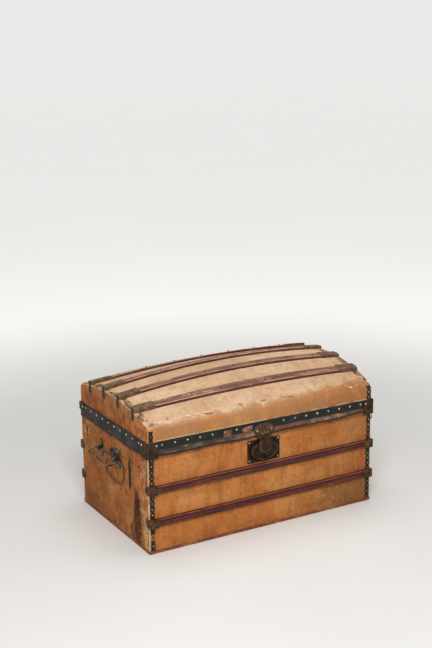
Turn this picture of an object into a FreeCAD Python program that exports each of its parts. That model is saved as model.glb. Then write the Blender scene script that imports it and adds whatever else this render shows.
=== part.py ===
import FreeCAD, Part
import math
import os
from types import SimpleNamespace

import Sketcher
from FreeCAD import Placement, Rotation, Vector

# Dome top trunk. Millimetres, +Z up, front towards -Y, origin on the floor at the middle of the
# carcass. Every size below is a cell of the sheet "Sizes"; pieces are bound to those cells.

SIZES = {
    # carcass
    "trunk_width": 750.0,
    "trunk_depth": 442.0,
    "body_height": 300.0,
    "board_thickness": 9.0,
    "bottom_thickness": 10.0,
    "canvas_thickness": 1.2,
    "lining_thickness": 0.8,
    "corner_radius": 3.0,
    "edging_height": 9.0,
    "edging_thickness": 0.8,
    "edging_lift": 0.5,
    # lid
    "rim_gap": 0.3,
    "lid_side_height": 74.0,
    "lid_board": 8.0,
    "rail_height": 44.0,
    "left_rise": 28.0,
    "right_rise": 44.0,
    "bow_rise": 26.0,
    "crown_shift": 22.0,
    "shoulder_radius": 24.0,
    "lid_edge_radius": 2.5,
    # wooden slats on the carcass
    "slat_height": 22.0,
    "slat_thickness": 9.0,
    "slat_chamfer": 1.6,
    "slat_groove_depth": 1.3,
    "slat_groove_rise": 5.0,
    "upper_slat_drop": 114.0,
    "lower_slat_z": 91.0,
    # wooden slats on the dome
    "dome_slat_width": 24.0,
    "dome_slat_thickness": 8.0,
    "dome_slat_chamfer": 1.6,
    "outer_slat_inset": 80.0,
    "slat_shift": 5.5,
    # iron clamps on the slat ends
    "clamp_sheet": 1.5,
    "clamp_length": 42.0,
    "clamp_point": 20.0,
    "clamp_nail_inset": 8.5,
    "clamp_wrap": 20.0,
    "wrap_point": 9.0,
    "dome_clamp_length": 65.0,
    "tab_width": 13.0,
    "tab_length": 35.0,
    "tab_round": 3.0,
    # studded strips
    "strip_width": 15.0,
    "strip_thickness": 1.2,
    "strip_inset": 3.0,
    "strip_gap": 0.5,
    "binding_width": 20.0,
    "binding_thickness": 1.0,
    # band and dust flap round the foot of the lid
    "band_height": 22.4,
    "band_thickness": 1.4,
    "flap_thickness": 2.0,
    "flap_drop": 22.0,
    "flap_clearance": 0.3,
    "cap_leg": 31.0,
    "cap_thickness": 1.6,
    "cap_radius": 4.0,
    # nails
    "nail_radius": 3.4,
    "nail_height": 1.6,
    "small_nail_radius": 2.4,
    "nail_clearance": 0.1,
    "band_nail_pitch": 40.0,
    "band_nail_drop": 10.0,
    "slat_nail_pitch": 100.0,
    "dome_nail_pitch": 92.0,
    # lock on the front
    "lock_x": -7.5,
    "lock_drop": 64.0,
    "lock_width": 108.0,
    "lock_height": 68.0,
    "lock_plate": 1.5,
    "lock_corner": 4.0,
    "case_length": 94.0,
    "case_height": 60.0,
    "case_depth": 7.5,
    "case_round": 3.5,
    "case_rim": 7.0,
    "case_dish": 1.0,
    "keyhole_radius": 2.4,
    "keyhole_slot": 9.0,
    "keyhole_drop": 20.0,
    "keyhole_depth": 4.0,
    "groove_width": 14.0,
    "groove_depth": 4.6,
    "groove_rise": 8.0,
    # hasp
    "hasp_plate_width": 66.0,
    "hasp_plate_height": 36.0,
    "hasp_plate_sheet": 1.6,
    "hasp_neck": 50.0,
    "hasp_axis_drop": 23.0,
    "hasp_knuckle_radius": 3.2,
    "hasp_pin_radius": 1.4,
    "hasp_middle": 26.0,
    "tongue_width": 38.0,
    "tongue_length": 39.0,
    "tongue_sheet": 1.8,
    "tongue_tip": 8.5,
    "tongue_round": 4.0,
    "staple_width": 11.0,
    "staple_height": 6.0,
    "staple_depth": 3.4,
    "knuckle_gap": 0.3,
    # lid hinges
    "hinge_x": 235.0,
    "hinge_width": 60.0,
    "hinge_middle": 24.0,
    "leaf_thickness": 1.6,
    "leaf_length": 42.0,
    "hinge_radius": 4.2,
    "hinge_pin_radius": 2.0,
    "hinge_setout": 0.3,
    "pin_clearance": 0.05,
    "stop_length": 16.0,
    "stop_sheet": 2.0,
    "lid_opening": 100.0,
    # carrying handles
    "handle_drop": 79.0,
    "handle_front": -33.0,
    "handle_back": 77.0,
    "handle_standoff": 9.0,
    "rod_radius": 2.6,
    "bail_reach": 31.0,
    "bail_overhang": 6.0,
    "bail_droop": 20.0,
    "eye_radius": 6.2,
    "eye_length": 10.0,
    "eye_clearance": 0.1,
    "front_bracket_width": 34.0,
    "back_bracket_width": 14.0,
    "bracket_height": 54.0,
    "bracket_sheet": 2.0,
    "bracket_round": 0.2,
    "bracket_nail_inset": 7.0,
    # hanging thong on the left end
    "thong_radius": 1.5,
    "thong_standoff": 4.0,
    "thong_nail_side": 4.4,
    "thong_nail_length": 6.5,
}

doc = FreeCAD.newDocument("DomeTopTrunk")
nodes = []


class Size:
    """A number together with the sheet expression that gives it."""

    def __init__(self, value, text):
        self.value = value
        self.text = text

    @staticmethod
    def of(item):
        if isinstance(item, Size):
            return item
        return Size(float(item), repr(float(item)))

    def _join(self, other, sign, value):
        return Size(value, f"({self.text} {sign} {Size.of(other).text})")

    def __add__(self, other):
        return self._join(other, "+", self.value + Size.of(other).value)

    def __sub__(self, other):
        return self._join(other, "-", self.value - Size.of(other).value)

    def __mul__(self, other):
        return self._join(other, "*", self.value * Size.of(other).value)

    def __truediv__(self, other):
        return self._join(other, "/", self.value / Size.of(other).value)

    def __neg__(self):
        return Size(-self.value, f"(0 - {self.text})")

    def sqrt(self):
        return Size(math.sqrt(self.value), f"sqrt({self.text})")


def make_sheet():
    """Fill the sheet and return its cells as Size objects."""
    sheet = doc.addObject("Spreadsheet::Sheet", "Sizes")
    cells = {}
    for row, (alias, value) in enumerate(SIZES.items(), start=1):
        sheet.set(f"A{row}", alias)
        sheet.set(f"B{row}", str(value))
        sheet.setAlias(f"B{row}", alias)
        cells[alias] = Size(value, f"Sizes.{alias}")
    doc.recompute()
    return SimpleNamespace(**cells)


d = make_sheet()


# ---------------------------------------------------------------- helpers

def bind(item, prop, size):
    item.setExpression(prop, Size.of(size).text)


def place(item, x, y, z, rotation=None):
    """Put an object's origin at x, y, z, keeping the position bound to the sheet."""
    corner = [Size.of(x), Size.of(y), Size.of(z)]
    item.Placement = Placement(Vector(*[c.value for c in corner]), rotation or Rotation())
    for axis, size in zip("xyz", corner):
        bind(item, f"Placement.Base.{axis}", size)
    return item


def node(name, item):
    """Name a finished sub-part."""
    item.Label = name
    nodes.append(item)
    return item


def box(name, x, y, z):
    """A block between two planes on each axis; x, y and z are (low, high) pairs."""
    item = doc.addObject("Part::Box", name)
    for prop, (low, high) in zip(("Length", "Width", "Height"), (x, y, z)):
        bind(item, prop, Size.of(high) - Size.of(low))
    return place(item, x[0], y[0], z[0])


ALONG = {"x": Rotation(Vector(0, 1, 0), 90), "y": Rotation(Vector(1, 0, 0), -90), "z": Rotation()}


def cylinder(name, radius, length, start, along):
    """A cylinder from the point start, running the given way along x, y or z."""
    item = doc.addObject("Part::Cylinder", name)
    bind(item, "Radius", radius)
    bind(item, "Height", length)
    return place(item, *start, ALONG[along])


def boolean(kind, name, base, tool):
    item = doc.addObject(f"Part::{kind}", name)
    item.Base = base
    item.Tool = tool
    return item


def cut(name, base, tool):
    return boolean("Cut", name, base, tool)


def common(name, base, tool):
    return boolean("Common", name, base, tool)


def fuse(name, members):
    item = doc.addObject("Part::MultiFuse", name)
    item.Shapes = members
    return item


def group(name, members):
    """Separate solids that share one node."""
    item = doc.addObject("Part::Compound", name)
    item.Links = members
    return item


def draw(sketch, corners):
    """Draw a closed outline. A corner is (x, y) or (x, y, radius), each bound to the sheet."""
    points = [Vector(Size.of(c[0]).value, Size.of(c[1]).value, 0) for c in corners]
    radii = [Size.of(c[2]) if len(c) > 2 else None for c in corners]
    count = len(corners)
    starts, ends, arcs = [], [], {}
    for i in range(count):
        into = (points[i] - points[i - 1]).normalize()
        out = (points[(i + 1) % count] - points[i]).normalize()
        if radii[i] is None:
            ends.append(points[i])
            starts.append(points[i])
            continue
        turn = into.getAngle(out)
        back = radii[i].value * math.tan(turn / 2)
        ends.append(points[i] - into * back)
        starts.append(points[i] + out * back)
        side = 1 if into.cross(out).z > 0 else -1
        centre = ends[i] + Vector(-into.y, into.x, 0) * side * radii[i].value
        first, last = (ends[i], starts[i]) if side > 0 else (starts[i], ends[i])
        begin = math.atan2(first.y - centre.y, first.x - centre.x)
        circle = Part.Circle(centre, Vector(0, 0, 1), radii[i].value)
        arcs[i] = (Part.ArcOfCircle(circle, begin, begin + turn), 1 if side > 0 else 2)
    lines = [sketch.addGeometry(Part.LineSegment(starts[i], ends[(i + 1) % count]), False)
             for i in range(count)]
    for i in range(count):
        before, after = lines[i - 1], lines[i]
        x, y = Size.of(corners[i][0]), Size.of(corners[i][1])
        if radii[i] is None:
            sketch.addConstraint(Sketcher.Constraint("Coincident", before, 2, after, 1))
            corner = (after, 1)
        else:
            curve, first = arcs[i]
            arc = sketch.addGeometry(curve, False)
            sketch.addConstraint(Sketcher.Constraint("Tangent", before, 2, arc, first))
            sketch.addConstraint(Sketcher.Constraint("Tangent", arc, 3 - first, after, 1))
            radius = sketch.addConstraint(Sketcher.Constraint("Radius", arc, radii[i].value))
            bind(sketch, f"Constraints[{radius}]", radii[i])
            point = sketch.addGeometry(Part.Point(points[i]), True)
            for line in (before, after):
                sketch.addConstraint(Sketcher.Constraint("PointOnObject", point, 1, line))
            corner = (point, 1)
        for kind, size in (("DistanceX", x), ("DistanceY", y)):
            index = sketch.addConstraint(Sketcher.Constraint(kind, -1, 1, *corner, size.value))
            bind(sketch, f"Constraints[{index}]", size)


PLANES = {"xy": "XY_Plane", "xz": "XZ_Plane", "yz": "YZ_Plane"}


def new_sketch(body, plane, name):
    """A sketch on one of a body's own origin planes."""
    sketch = body.newObject("Sketcher::SketchObject", name)
    support = [f for f in body.Origin.OriginFeatures if f.Role == PLANES[plane]][0]
    sketch.AttachmentSupport = (support, [""])
    sketch.MapMode = "FlatFace"
    return sketch


def padded(name, plane, corners, thickness, reverse=False):
    """A body made by padding one outline. Its sketch plane stays at the body's origin."""
    body = doc.addObject("PartDesign::Body", name)
    sketch = new_sketch(body, plane, f"{name}_outline")
    draw(sketch, corners)
    pad = body.newObject("PartDesign::Pad", f"{name}_pad")
    pad.Profile = sketch
    pad.Reversed = reverse
    bind(pad, "Length", thickness)
    body.Tip = pad
    return body


def nail(name, x, y, z, facing, radius=None):
    """A forged eight-sided nail head whose flat back lies at x, y, z."""
    head = doc.addObject("Part::Prism", name)
    head.Polygon = 8
    bind(head, "Circumradius", radius or d.nail_radius)
    bind(head, "Height", d.nail_height)
    turns = {"-y": Rotation(Vector(1, 0, 0), 90), "+y": Rotation(Vector(1, 0, 0), -90),
             "-x": Rotation(Vector(0, 1, 0), -90), "+x": Rotation(Vector(0, 1, 0), 90)}
    return place(head, x, y, z, turns[facing])


def spread(low, high, pitch):
    """Evenly spaced places between two limits, about a pitch apart, centred."""
    count = max(1, round((high - low) / pitch))
    return [low + (high - low) * i / count for i in range(count + 1)]


# ---------------------------------------------------------------- shared planes

half_w = d.trunk_width / 2
half_d = d.trunk_depth / 2
wall = d.canvas_thickness + d.board_thickness
lid_foot = d.body_height + d.rim_gap
band_top = lid_foot + d.band_height
shoulder_z = lid_foot + d.lid_side_height
upper_slat_z = d.body_height - d.upper_slat_drop
lock_z = d.body_height - d.lock_drop
hasp_axis_z = d.body_height - d.hasp_axis_drop
handle_z = d.body_height - d.handle_drop
flap_foot = d.body_height - d.flap_drop
flap_face = d.flap_clearance + d.flap_thickness
band_face = flap_face + d.band_thickness
cap_face = band_face + d.cap_thickness
clamp_face = d.slat_thickness + d.clamp_sheet
ENDS = (("left", -1), ("right", 1))
SIDES = (("front", -1), ("back", 1))


def span(sign, low, high):
    """The pair low, high measured outwards on one side, as an ordered (low, high)."""
    low, high = Size.of(low), Size.of(high)
    return (low, high) if sign > 0 else (-high, -low)


# ---------------------------------------------------------------- carcass

def rounded_corners(name, block, radius):
    """Round the upright edges of a block at its outer corners."""
    doc.recompute()
    item = doc.addObject("Part::Fillet", name)
    item.Base = block
    edges = []
    for index, edge in enumerate(block.Shape.Edges, start=1):
        first, last = edge.Vertexes[0].Point, edge.Vertexes[-1].Point
        upright = abs(first.z - last.z) > 1 and abs(first.x - last.x) + abs(first.y - last.y) < 1e-6
        outside = abs(abs(first.x) - block.Shape.BoundBox.XMax) < 1e-6
        outside = outside and abs(abs(first.y) - max(abs(block.Shape.BoundBox.YMin),
                                                     block.Shape.BoundBox.YMax)) < 1e-6
        if upright and outside:
            edges.append((index, radius.value, radius.value))
    item.Edges = edges
    return item


def make_boards():
    """Bottom, front, back and two end boards, nailed up into an open box."""
    inside = d.canvas_thickness
    board_x = (-(half_w - inside), half_w - inside)
    height = (d.bottom_thickness, d.body_height)
    bottom = box("bottom_block", board_x, (-(half_d - inside), half_d - inside), (0, d.bottom_thickness))
    node("bottom_board", rounded_corners("bottom_board", bottom, d.corner_radius - inside))
    for side, sign in SIDES:
        block = box(f"{side}_block", board_x, span(sign, half_d - wall, half_d - inside), height)
        node(f"{side}_board", rounded_corners(f"{side}_board", block, d.corner_radius - inside))
    for end, sign in ENDS:
        node(f"{end}_end_board", box(f"{end}_end_board", span(sign, half_w - wall, half_w - inside),
                                     (-(half_d - wall), half_d - wall), height))


def make_body_canvas():
    """The canvas glued round the four sides."""
    inside = d.canvas_thickness
    outer = box("canvas_outer", (-half_w, half_w), (-half_d, half_d), (0, d.body_height))
    inner = box("canvas_inner", (-(half_w - inside), half_w - inside),
                (-(half_d - inside), half_d - inside), (-1, d.body_height + 1))
    outer = rounded_corners("canvas_outer_round", outer, d.corner_radius)
    inner = rounded_corners("canvas_inner_round", inner, d.corner_radius - inside)
    node("body_canvas", cut("body_canvas", outer, inner))


def make_body_lining():
    """Paper lining over the inside of the boards."""
    floor = d.bottom_thickness
    outer = box("lining_outer", (-(half_w - wall), half_w - wall), (-(half_d - wall), half_d - wall),
                (floor, d.body_height))
    clear = wall + d.lining_thickness
    inner = box("lining_inner", (-(half_w - clear), half_w - clear), (-(half_d - clear), half_d - clear),
                (floor + d.lining_thickness, d.body_height + 1))
    node("body_lining", cut("body_lining", outer, inner))


def make_edging():
    """The thin strip that binds the bottom edge."""
    proud = d.edging_thickness
    height = (d.edging_lift, d.edging_lift + d.edging_height)
    outer = box("edging_outer", (-(half_w + proud), half_w + proud), (-(half_d + proud), half_d + proud), height)
    inner = box("edging_inner", (-half_w, half_w), (-half_d, half_d), (-1, height[1] + 1))
    node("bottom_edging", cut("bottom_edging", outer, inner))


def make_body_slats():
    """Two moulded slats across the front and two across the back."""
    low, high = -d.slat_height / 2, d.slat_height / 2
    face, edge = d.slat_thickness, d.slat_thickness - d.slat_chamfer
    groove = d.slat_groove_depth
    profile = [(0, low), (edge, low), (face, low + d.slat_chamfer),
               (face, d.slat_groove_rise - groove), (face - groove, d.slat_groove_rise),
               (face, d.slat_groove_rise + groove), (face, high - d.slat_chamfer),
               (edge, high), (0, high)]
    for side, sign in SIDES:
        for level, z in (("upper", upper_slat_z), ("lower", d.lower_slat_z)):
            corners = [(y * sign if isinstance(y, Size) else y, height) for y, height in profile]
            slat = padded(f"{side}_{level}_slat", "yz", corners, d.trunk_width)
            node(f"{side}_{level}_slat", place(slat, -half_w, half_d * sign, z))


def make_body_clamps():
    """Pointed iron clamps folded over the slat ends and round the corners."""
    clamps = []
    half = d.slat_height / 2 + d.clamp_sheet
    for side, y_sign in SIDES:
        for end, x_sign in ENDS:
            for level, z in (("upper", upper_slat_z), ("lower", d.lower_slat_z)):
                name = f"clamp_{side}_{end}_{level}"
                root = half_w + d.clamp_sheet
                reach = half_w - d.clamp_length
                corners = [(root * x_sign, -half), ((reach + d.clamp_point) * x_sign, -half),
                           (reach * x_sign, 0), ((reach + d.clamp_point) * x_sign, half),
                           (root * x_sign, half)]
                shell = padded(f"{name}_shell", "xz", corners, clamp_face, reverse=y_sign > 0)
                place(shell, 0, half_d * y_sign, z)
                hollow = box(f"{name}_hollow", span(x_sign, reach - 1, half_w),
                             span(y_sign, half_d - 1, half_d + d.slat_thickness),
                             (z - d.slat_height / 2, z + d.slat_height / 2))
                wrap = padded(f"{name}_wrap", "yz",
                              [(0, -half), ((d.clamp_wrap - d.wrap_point) * -y_sign, -half),
                               (d.clamp_wrap * -y_sign, 0),
                               ((d.clamp_wrap - d.wrap_point) * -y_sign, half), (0, half)],
                              d.clamp_sheet, reverse=x_sign < 0)
                place(wrap, half_w * x_sign, half_d * y_sign, z)
                folded = cut(f"{name}_folded", shell, hollow)
                clamps.append(fuse(name, [folded, wrap]))
    node("body_slat_clamps", group("body_slat_clamps", clamps))


def make_corner_strips():
    """Studded strips beside the upright corners, broken where the clamps cross them."""
    clear = d.slat_height / 2 + d.clamp_sheet + d.strip_gap
    foot = d.edging_lift + d.edging_height + d.strip_gap
    runs = [(foot, d.lower_slat_z - clear), (d.lower_slat_z + clear, upper_slat_z - clear)]
    tops = {"front": flap_foot - d.strip_gap, "back": d.body_height}
    for side, y_sign in SIDES:
        strips = []
        for end, x_sign in ENDS:
            x = span(x_sign, half_w - d.strip_inset - d.strip_width, half_w - d.strip_inset)
            y = span(y_sign, half_d, half_d + d.strip_thickness)
            for number, z in enumerate(runs + [(upper_slat_z + clear, tops[side])], start=1):
                strips.append(box(f"{side}_{end}_strip_{number}", x, y, z))
        node(f"{side}_corner_strips", group(f"{side}_corner_strips", strips))
    lid_strips = []
    for side, y_sign in SIDES:
        for end, x_sign in ENDS:
            x = span(x_sign, half_w - d.strip_inset - d.strip_width, half_w - d.strip_inset)
            y = span(y_sign, half_d, half_d + d.strip_thickness)
            z = (band_top + d.cap_thickness, lid_foot + d.rail_height)
            lid_strips.append(box(f"lid_{side}_{end}_strip", x, y, z))
    node("lid_corner_strips", group("lid_corner_strips", lid_strips))


def make_body_nails():
    """Nail heads on the slats and clamps of the front and back."""
    clamp_nail_x = half_w - d.clamp_length + d.clamp_nail_inset
    limit = clamp_nail_x.value - 30
    for side, sign in SIDES:
        facing = "-y" if sign < 0 else "+y"
        heads = []
        for level, z in (("upper", upper_slat_z), ("lower", d.lower_slat_z)):
            for number, x in enumerate(spread(-limit, limit, d.slat_nail_pitch.value)):
                heads.append(nail(f"{side}_{level}_nail_{number}", x,
                                  (half_d + d.slat_thickness) * sign, z - d.nail_radius / 2, facing))
            for end, x_sign in ENDS:
                heads.append(nail(f"{side}_{level}_{end}_clamp_nail", clamp_nail_x * x_sign,
                                  (half_d + clamp_face) * sign, z, facing))
        node(f"{side}_slat_nails", group(f"{side}_slat_nails", heads))


# ---------------------------------------------------------------- lid

STATIONS = (-1, -0.5, 0, 0.5, 1)
TO_SECTION = Rotation(Vector(1, 1, 1), 120)


def arch_at(x):
    """Radius and centre height of the dome's outer arch at x, which bows along the lid."""
    along = (x / half_w + 1) / 2
    bow = Size.of(1) - x * x / (half_w * half_w)
    rise = d.left_rise + (d.right_rise - d.left_rise) * along + d.bow_rise * bow
    radius = (half_d * half_d + rise * rise) / (rise * 2)
    return radius, shoulder_z + rise - radius


def section(name, x, inset):
    """One cross-section of the lid at x, every face moved inwards by inset."""
    radius, arch_z = arch_at(x)
    top, side = radius - inset, half_d - inset
    round_r = d.shoulder_radius - inset
    reach, round_y = top - round_r, side - round_r
    sketch = doc.addObject("Sketcher::SketchObject", name)
    place(sketch, x, 0, 0, TO_SECTION)
    heights, leans = {}, {}
    for end, sign in SIDES:
        away = round_y * sign - d.crown_shift
        rise = (reach * reach - away * away).sqrt()
        heights[end] = arch_z + rise
        leans[end] = math.atan2(rise.value, away.value)

    def arc(centre_y, centre_z, size, start, end):
        circle = Part.Circle(Vector(centre_y, centre_z, 0), Vector(0, 0, 1), size)
        return Part.ArcOfCircle(circle, start, end)

    def line(y0, z0, y1, z1):
        return Part.LineSegment(Vector(y0, z0, 0), Vector(y1, z1, 0))

    low, s, ry, rr = lid_foot.value, side.value, round_y.value, round_r.value
    front, back = heights["front"].value, heights["back"].value
    sketch.addGeometry([line(-s, low, s, low), line(s, low, s, back), arc(ry, back, rr, 0, leans["back"]),
                        arc(d.crown_shift.value, arch_z.value, top.value, leans["back"], leans["front"]),
                        arc(-ry, front, rr, leans["front"], math.pi), line(-s, front, -s, low)], False)
    for rule in (("Coincident", 0, 2, 1, 1), ("Tangent", 1, 2, 2, 1), ("Tangent", 2, 2, 3, 1),
                 ("Tangent", 3, 2, 4, 1), ("Tangent", 4, 2, 5, 1), ("Coincident", 5, 2, 0, 1),
                 ("Horizontal", 0), ("Vertical", 1), ("Vertical", 5), ("Equal", 2, 4)):
        sketch.addConstraint(Sketcher.Constraint(*rule))
    for rule, size in ((("DistanceX", -1, 1, 1, 1), side), (("DistanceX", 0, 1, -1, 1), side),
                       (("DistanceY", -1, 1, 1, 1), lid_foot), (("DistanceX", -1, 1, 3, 3), d.crown_shift),
                       (("DistanceY", -1, 1, 3, 3), arch_z), (("Radius", 3), top),
                       (("Radius", 2), round_r)):
        index = sketch.addConstraint(Sketcher.Constraint(*rule, size.value))
        bind(sketch, f"Constraints[{index}]", size)
    return sketch


def lid_block(name, end_inset, inset):
    """A solid lofted through the cross-sections: the lid's outside moved inwards by inset."""
    half = half_w - end_inset
    loft = doc.addObject("Part::Loft", name)
    loft.Sections = [section(f"{name}_{i}", half * u, Size.of(inset)) for i, u in enumerate(STATIONS)]
    loft.Solid = True
    loft.Ruled = False
    return loft


def rounded_ends(name, block, radius):
    """Round the two arched end edges of a lid block."""
    doc.recompute()
    item = doc.addObject("Part::Fillet", name)
    item.Base = block
    box_x = block.Shape.BoundBox.XMax
    edges = []
    for index, edge in enumerate(block.Shape.Edges, start=1):
        points = [edge.valueAt(t) for t in (edge.FirstParameter, edge.LastParameter)]
        on_end = all(abs(abs(p.x) - box_x) < 1e-3 for p in points)
        at_foot = all(abs(p.z - lid_foot.value) < 1e-3 for p in points)
        if on_end and not at_foot:
            edges.append((index, radius.value, radius.value))
    item.Edges = edges
    return item


def make_lid_shell():
    """Rails, arched end boards, bowed dome boards, canvas and lining of the lid."""
    canvas, board = d.canvas_thickness, d.lid_board
    outer = lid_block("lid_outer", 0, 0)
    middle = lid_block("lid_middle", canvas, canvas)
    inner = lid_block("lid_inner", canvas, canvas + board)
    node("lid_canvas", cut("lid_canvas", rounded_ends("lid_outer_round", outer, d.lid_edge_radius), middle))
    tunnel = cut("lid_tunnel", middle, inner)
    rail_top = lid_foot + d.rail_height
    wide = (-(half_w + 5), half_w + 5)
    for side, sign in SIDES:
        region = box(f"lid_{side}_region", wide, span(sign, half_d / 2, half_d), (lid_foot - 1, rail_top))
        node(f"lid_{side}_rail", common(f"lid_{side}_rail", tunnel, region))
    above = box("dome_region", wide, (-half_d, half_d), (rail_top, rail_top + d.trunk_depth))
    node("dome_boards", common("dome_boards", tunnel, above))
    tall = (lid_foot - 1, rail_top + d.trunk_depth)
    for end, sign in ENDS:
        region = box(f"lid_{end}_region", span(sign, half_w - canvas - board, half_w), (-half_d, half_d), tall)
        node(f"lid_{end}_end", common(f"lid_{end}_end", inner, region))
    lining = d.lining_thickness
    paper = lid_block("lining_block", canvas + board + lining, canvas + board + lining)
    heart = box("lining_region", (-(half_w - canvas - board), half_w - canvas - board),
                (-half_d, half_d), tall)
    node("lid_lining", cut("lid_lining", common("lining_shell", inner, heart), paper))
    return outer


def chamfered_slat(name, bar):
    """Take the corners off the two long upper edges of a bowed bar."""
    doc.recompute()
    item = doc.addObject("Part::Chamfer", name)
    item.Base = bar
    most = bar.Shape.BoundBox.XLength * 0.9
    long_edges = [(index, edge) for index, edge in enumerate(bar.Shape.Edges, start=1)
                  if edge.BoundBox.XLength > most]
    middle = sum(edge.BoundBox.Center.y for _, edge in long_edges) / len(long_edges)
    upper = []
    for sign in (-1, 1):
        beside = [(edge.BoundBox.ZMax, index) for index, edge in long_edges
                  if (edge.BoundBox.Center.y - middle) * sign > 0]
        upper.append((max(beside)[1], SIZES["dome_slat_chamfer"], SIZES["dome_slat_chamfer"]))
    item.Edges = upper
    return item


def make_dome_slats(outer):
    """Four bowed slats along the dome with clamps, and the binding between their ends."""
    slat_shell = cut("dome_slat_shell", lid_block("dome_slat_block", 0, -d.dome_slat_thickness), outer)
    clamp_over = d.dome_slat_thickness + d.clamp_sheet
    clamp_shell = cut("dome_clamp_shell", lid_block("dome_clamp_block", 0, -clamp_over), outer)
    binding_shell = cut("binding_shell", lid_block("binding_block", 0, -d.binding_thickness), outer)
    tall = (lid_foot + d.rail_height, lid_foot + d.rail_height + d.trunk_depth)
    outermost = half_d - d.outer_slat_inset
    centres = {"front_outer": d.slat_shift - outermost, "front_inner": d.slat_shift - outermost / 3,
               "back_inner": d.slat_shift + outermost / 3, "back_outer": d.slat_shift + outermost}
    half = d.dome_slat_width / 2
    slats, clamps = {}, []
    for name, y in centres.items():
        region = box(f"{name}_region", (-half_w, half_w), (y - half, y + half), tall)
        bar = common(f"dome_{name}_bar", slat_shell, region)
        slats[name] = node(f"dome_{name}_slat", chamfered_slat(f"dome_{name}_slat", bar))
    for end, sign in ENDS:
        plate = doc.addObject("Part::Extrusion", f"{end}_tab_plate")
        plate.Base = section(f"{end}_tab_profile", half_w * sign, Size.of(-clamp_over))
        plate.DirMode = "Custom"
        plate.Dir = Vector(sign, 0, 0)
        plate.Solid = True
        bind(plate, "LengthFwd", d.clamp_sheet)
        radius, arch_z = arch_at(half_w * sign)
        top = radius + clamp_over
        for name, y in centres.items():
            label = f"dome_clamp_{name}_{end}"
            wide = half + d.clamp_sheet
            region = box(f"{label}_region", span(sign, half_w - d.dome_clamp_length, half_w),
                         (y - wide, y + wide), tall)
            cap = cut(f"{label}_cap", common(f"{label}_over", clamp_shell, region), slats[name])
            foot = arch_z + (top * top - (y - d.crown_shift) * (y - d.crown_shift)).sqrt() - d.tab_length
            left, right = y - d.tab_width / 2, y + d.tab_width / 2
            strip = padded(f"{label}_strip", "yz", [(left, foot, d.tab_round), (right, foot, d.tab_round),
                                                    (right, tall[1]), (left, tall[1])],
                           half_w + d.clamp_sheet * 2, reverse=sign < 0)
            clamps.append(fuse(label, [cap, common(f"{label}_tab", plate, strip)]))
    node("dome_slat_clamps", group("dome_slat_clamps", clamps))
    edges = [Size.of(-half_d + d.shoulder_radius)]
    for y in centres.values():
        edges += [y - half - d.clamp_sheet - d.strip_gap, y + half + d.clamp_sheet + d.strip_gap]
    edges.append(half_d - d.shoulder_radius)
    strips = []
    for end, sign in ENDS:
        for number in range(0, len(edges), 2):
            region = box(f"binding_{end}_{number}_region", span(sign, half_w - d.binding_width, half_w),
                         (edges[number], edges[number + 1]), tall)
            strips.append(common(f"binding_{end}_{number}", binding_shell, region))
    node("dome_end_binding", group("dome_end_binding", strips))
    return slats, centres


def top_of(shape, x, y):
    """The highest point of a shape above x, y."""
    ray = Part.LineSegment(Vector(x, y, 0), Vector(x, y, 2 * SIZES["trunk_depth"])).toShape()
    return max((v.Point for v in ray.common(shape).Vertexes), key=lambda p: p.z)


def make_dome_nails(slats, centres):
    """Nail heads along the dome slats, each square to the wood below it."""
    doc.recompute()
    heads = []
    limit = SIZES["trunk_width"] / 2 - SIZES["dome_clamp_length"] - 25
    step = SIZES["dome_slat_width"] / 4
    for name, slat in slats.items():
        y = centres[name].value
        for number, x in enumerate(spread(-limit, limit, SIZES["dome_nail_pitch"])):
            here = top_of(slat.Shape, x, y)
            along = top_of(slat.Shape, x + step, y) - here
            across = top_of(slat.Shape, x, y + step) - here
            normal = along.cross(across).normalize()
            head = doc.addObject("Part::Prism", f"dome_{name}_nail_{number}")
            head.Polygon = 8
            bind(head, "Circumradius", d.nail_radius)
            bind(head, "Height", d.nail_height)
            head.Placement = Placement(here + normal * SIZES["nail_clearance"],
                                       Rotation(Vector(0, 0, 1), normal))
            heads.append(head)
    node("dome_slat_nails", group("dome_slat_nails", heads))


# ---------------------------------------------------------------- band, flap and caps

hinge_clear = d.hinge_width / 2 + 1


def make_band():
    """The nailed band round the foot of the lid; at the back it stops beside the hinges."""
    z = (lid_foot, band_top)
    front = box("band_front", (-(half_w + flap_face), half_w + flap_face),
                span(-1, half_d + flap_face, half_d + band_face), z)
    strips = [front]
    for end, sign in ENDS:
        strips.append(box(f"band_{end}", span(sign, half_w + flap_face, half_w + band_face),
                          (-(half_d + band_face), half_d), z))
    y = (half_d, half_d + d.band_thickness)
    stops = [-half_w, -d.hinge_x - hinge_clear, -d.hinge_x + hinge_clear,
             d.hinge_x - hinge_clear, d.hinge_x + hinge_clear, half_w]
    for number in range(0, 6, 2):
        strips.append(box(f"band_back_{number}", (stops[number], stops[number + 1]), y, z))
    node("lid_band", group("lid_band", strips))


def make_flaps():
    """Leather dust flaps that hang from the lid over the joint, front and ends."""
    z = (flap_foot, band_top)
    node("front_dust_flap", box("front_dust_flap", (-(half_w + flap_face), half_w + flap_face),
                                span(-1, half_d + d.flap_clearance, half_d + flap_face), z))
    for end, sign in ENDS:
        node(f"{end}_dust_flap", box(f"{end}_dust_flap",
                                     span(sign, half_w + d.flap_clearance, half_w + flap_face),
                                     (-(half_d + d.flap_clearance), half_d), z))


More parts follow.
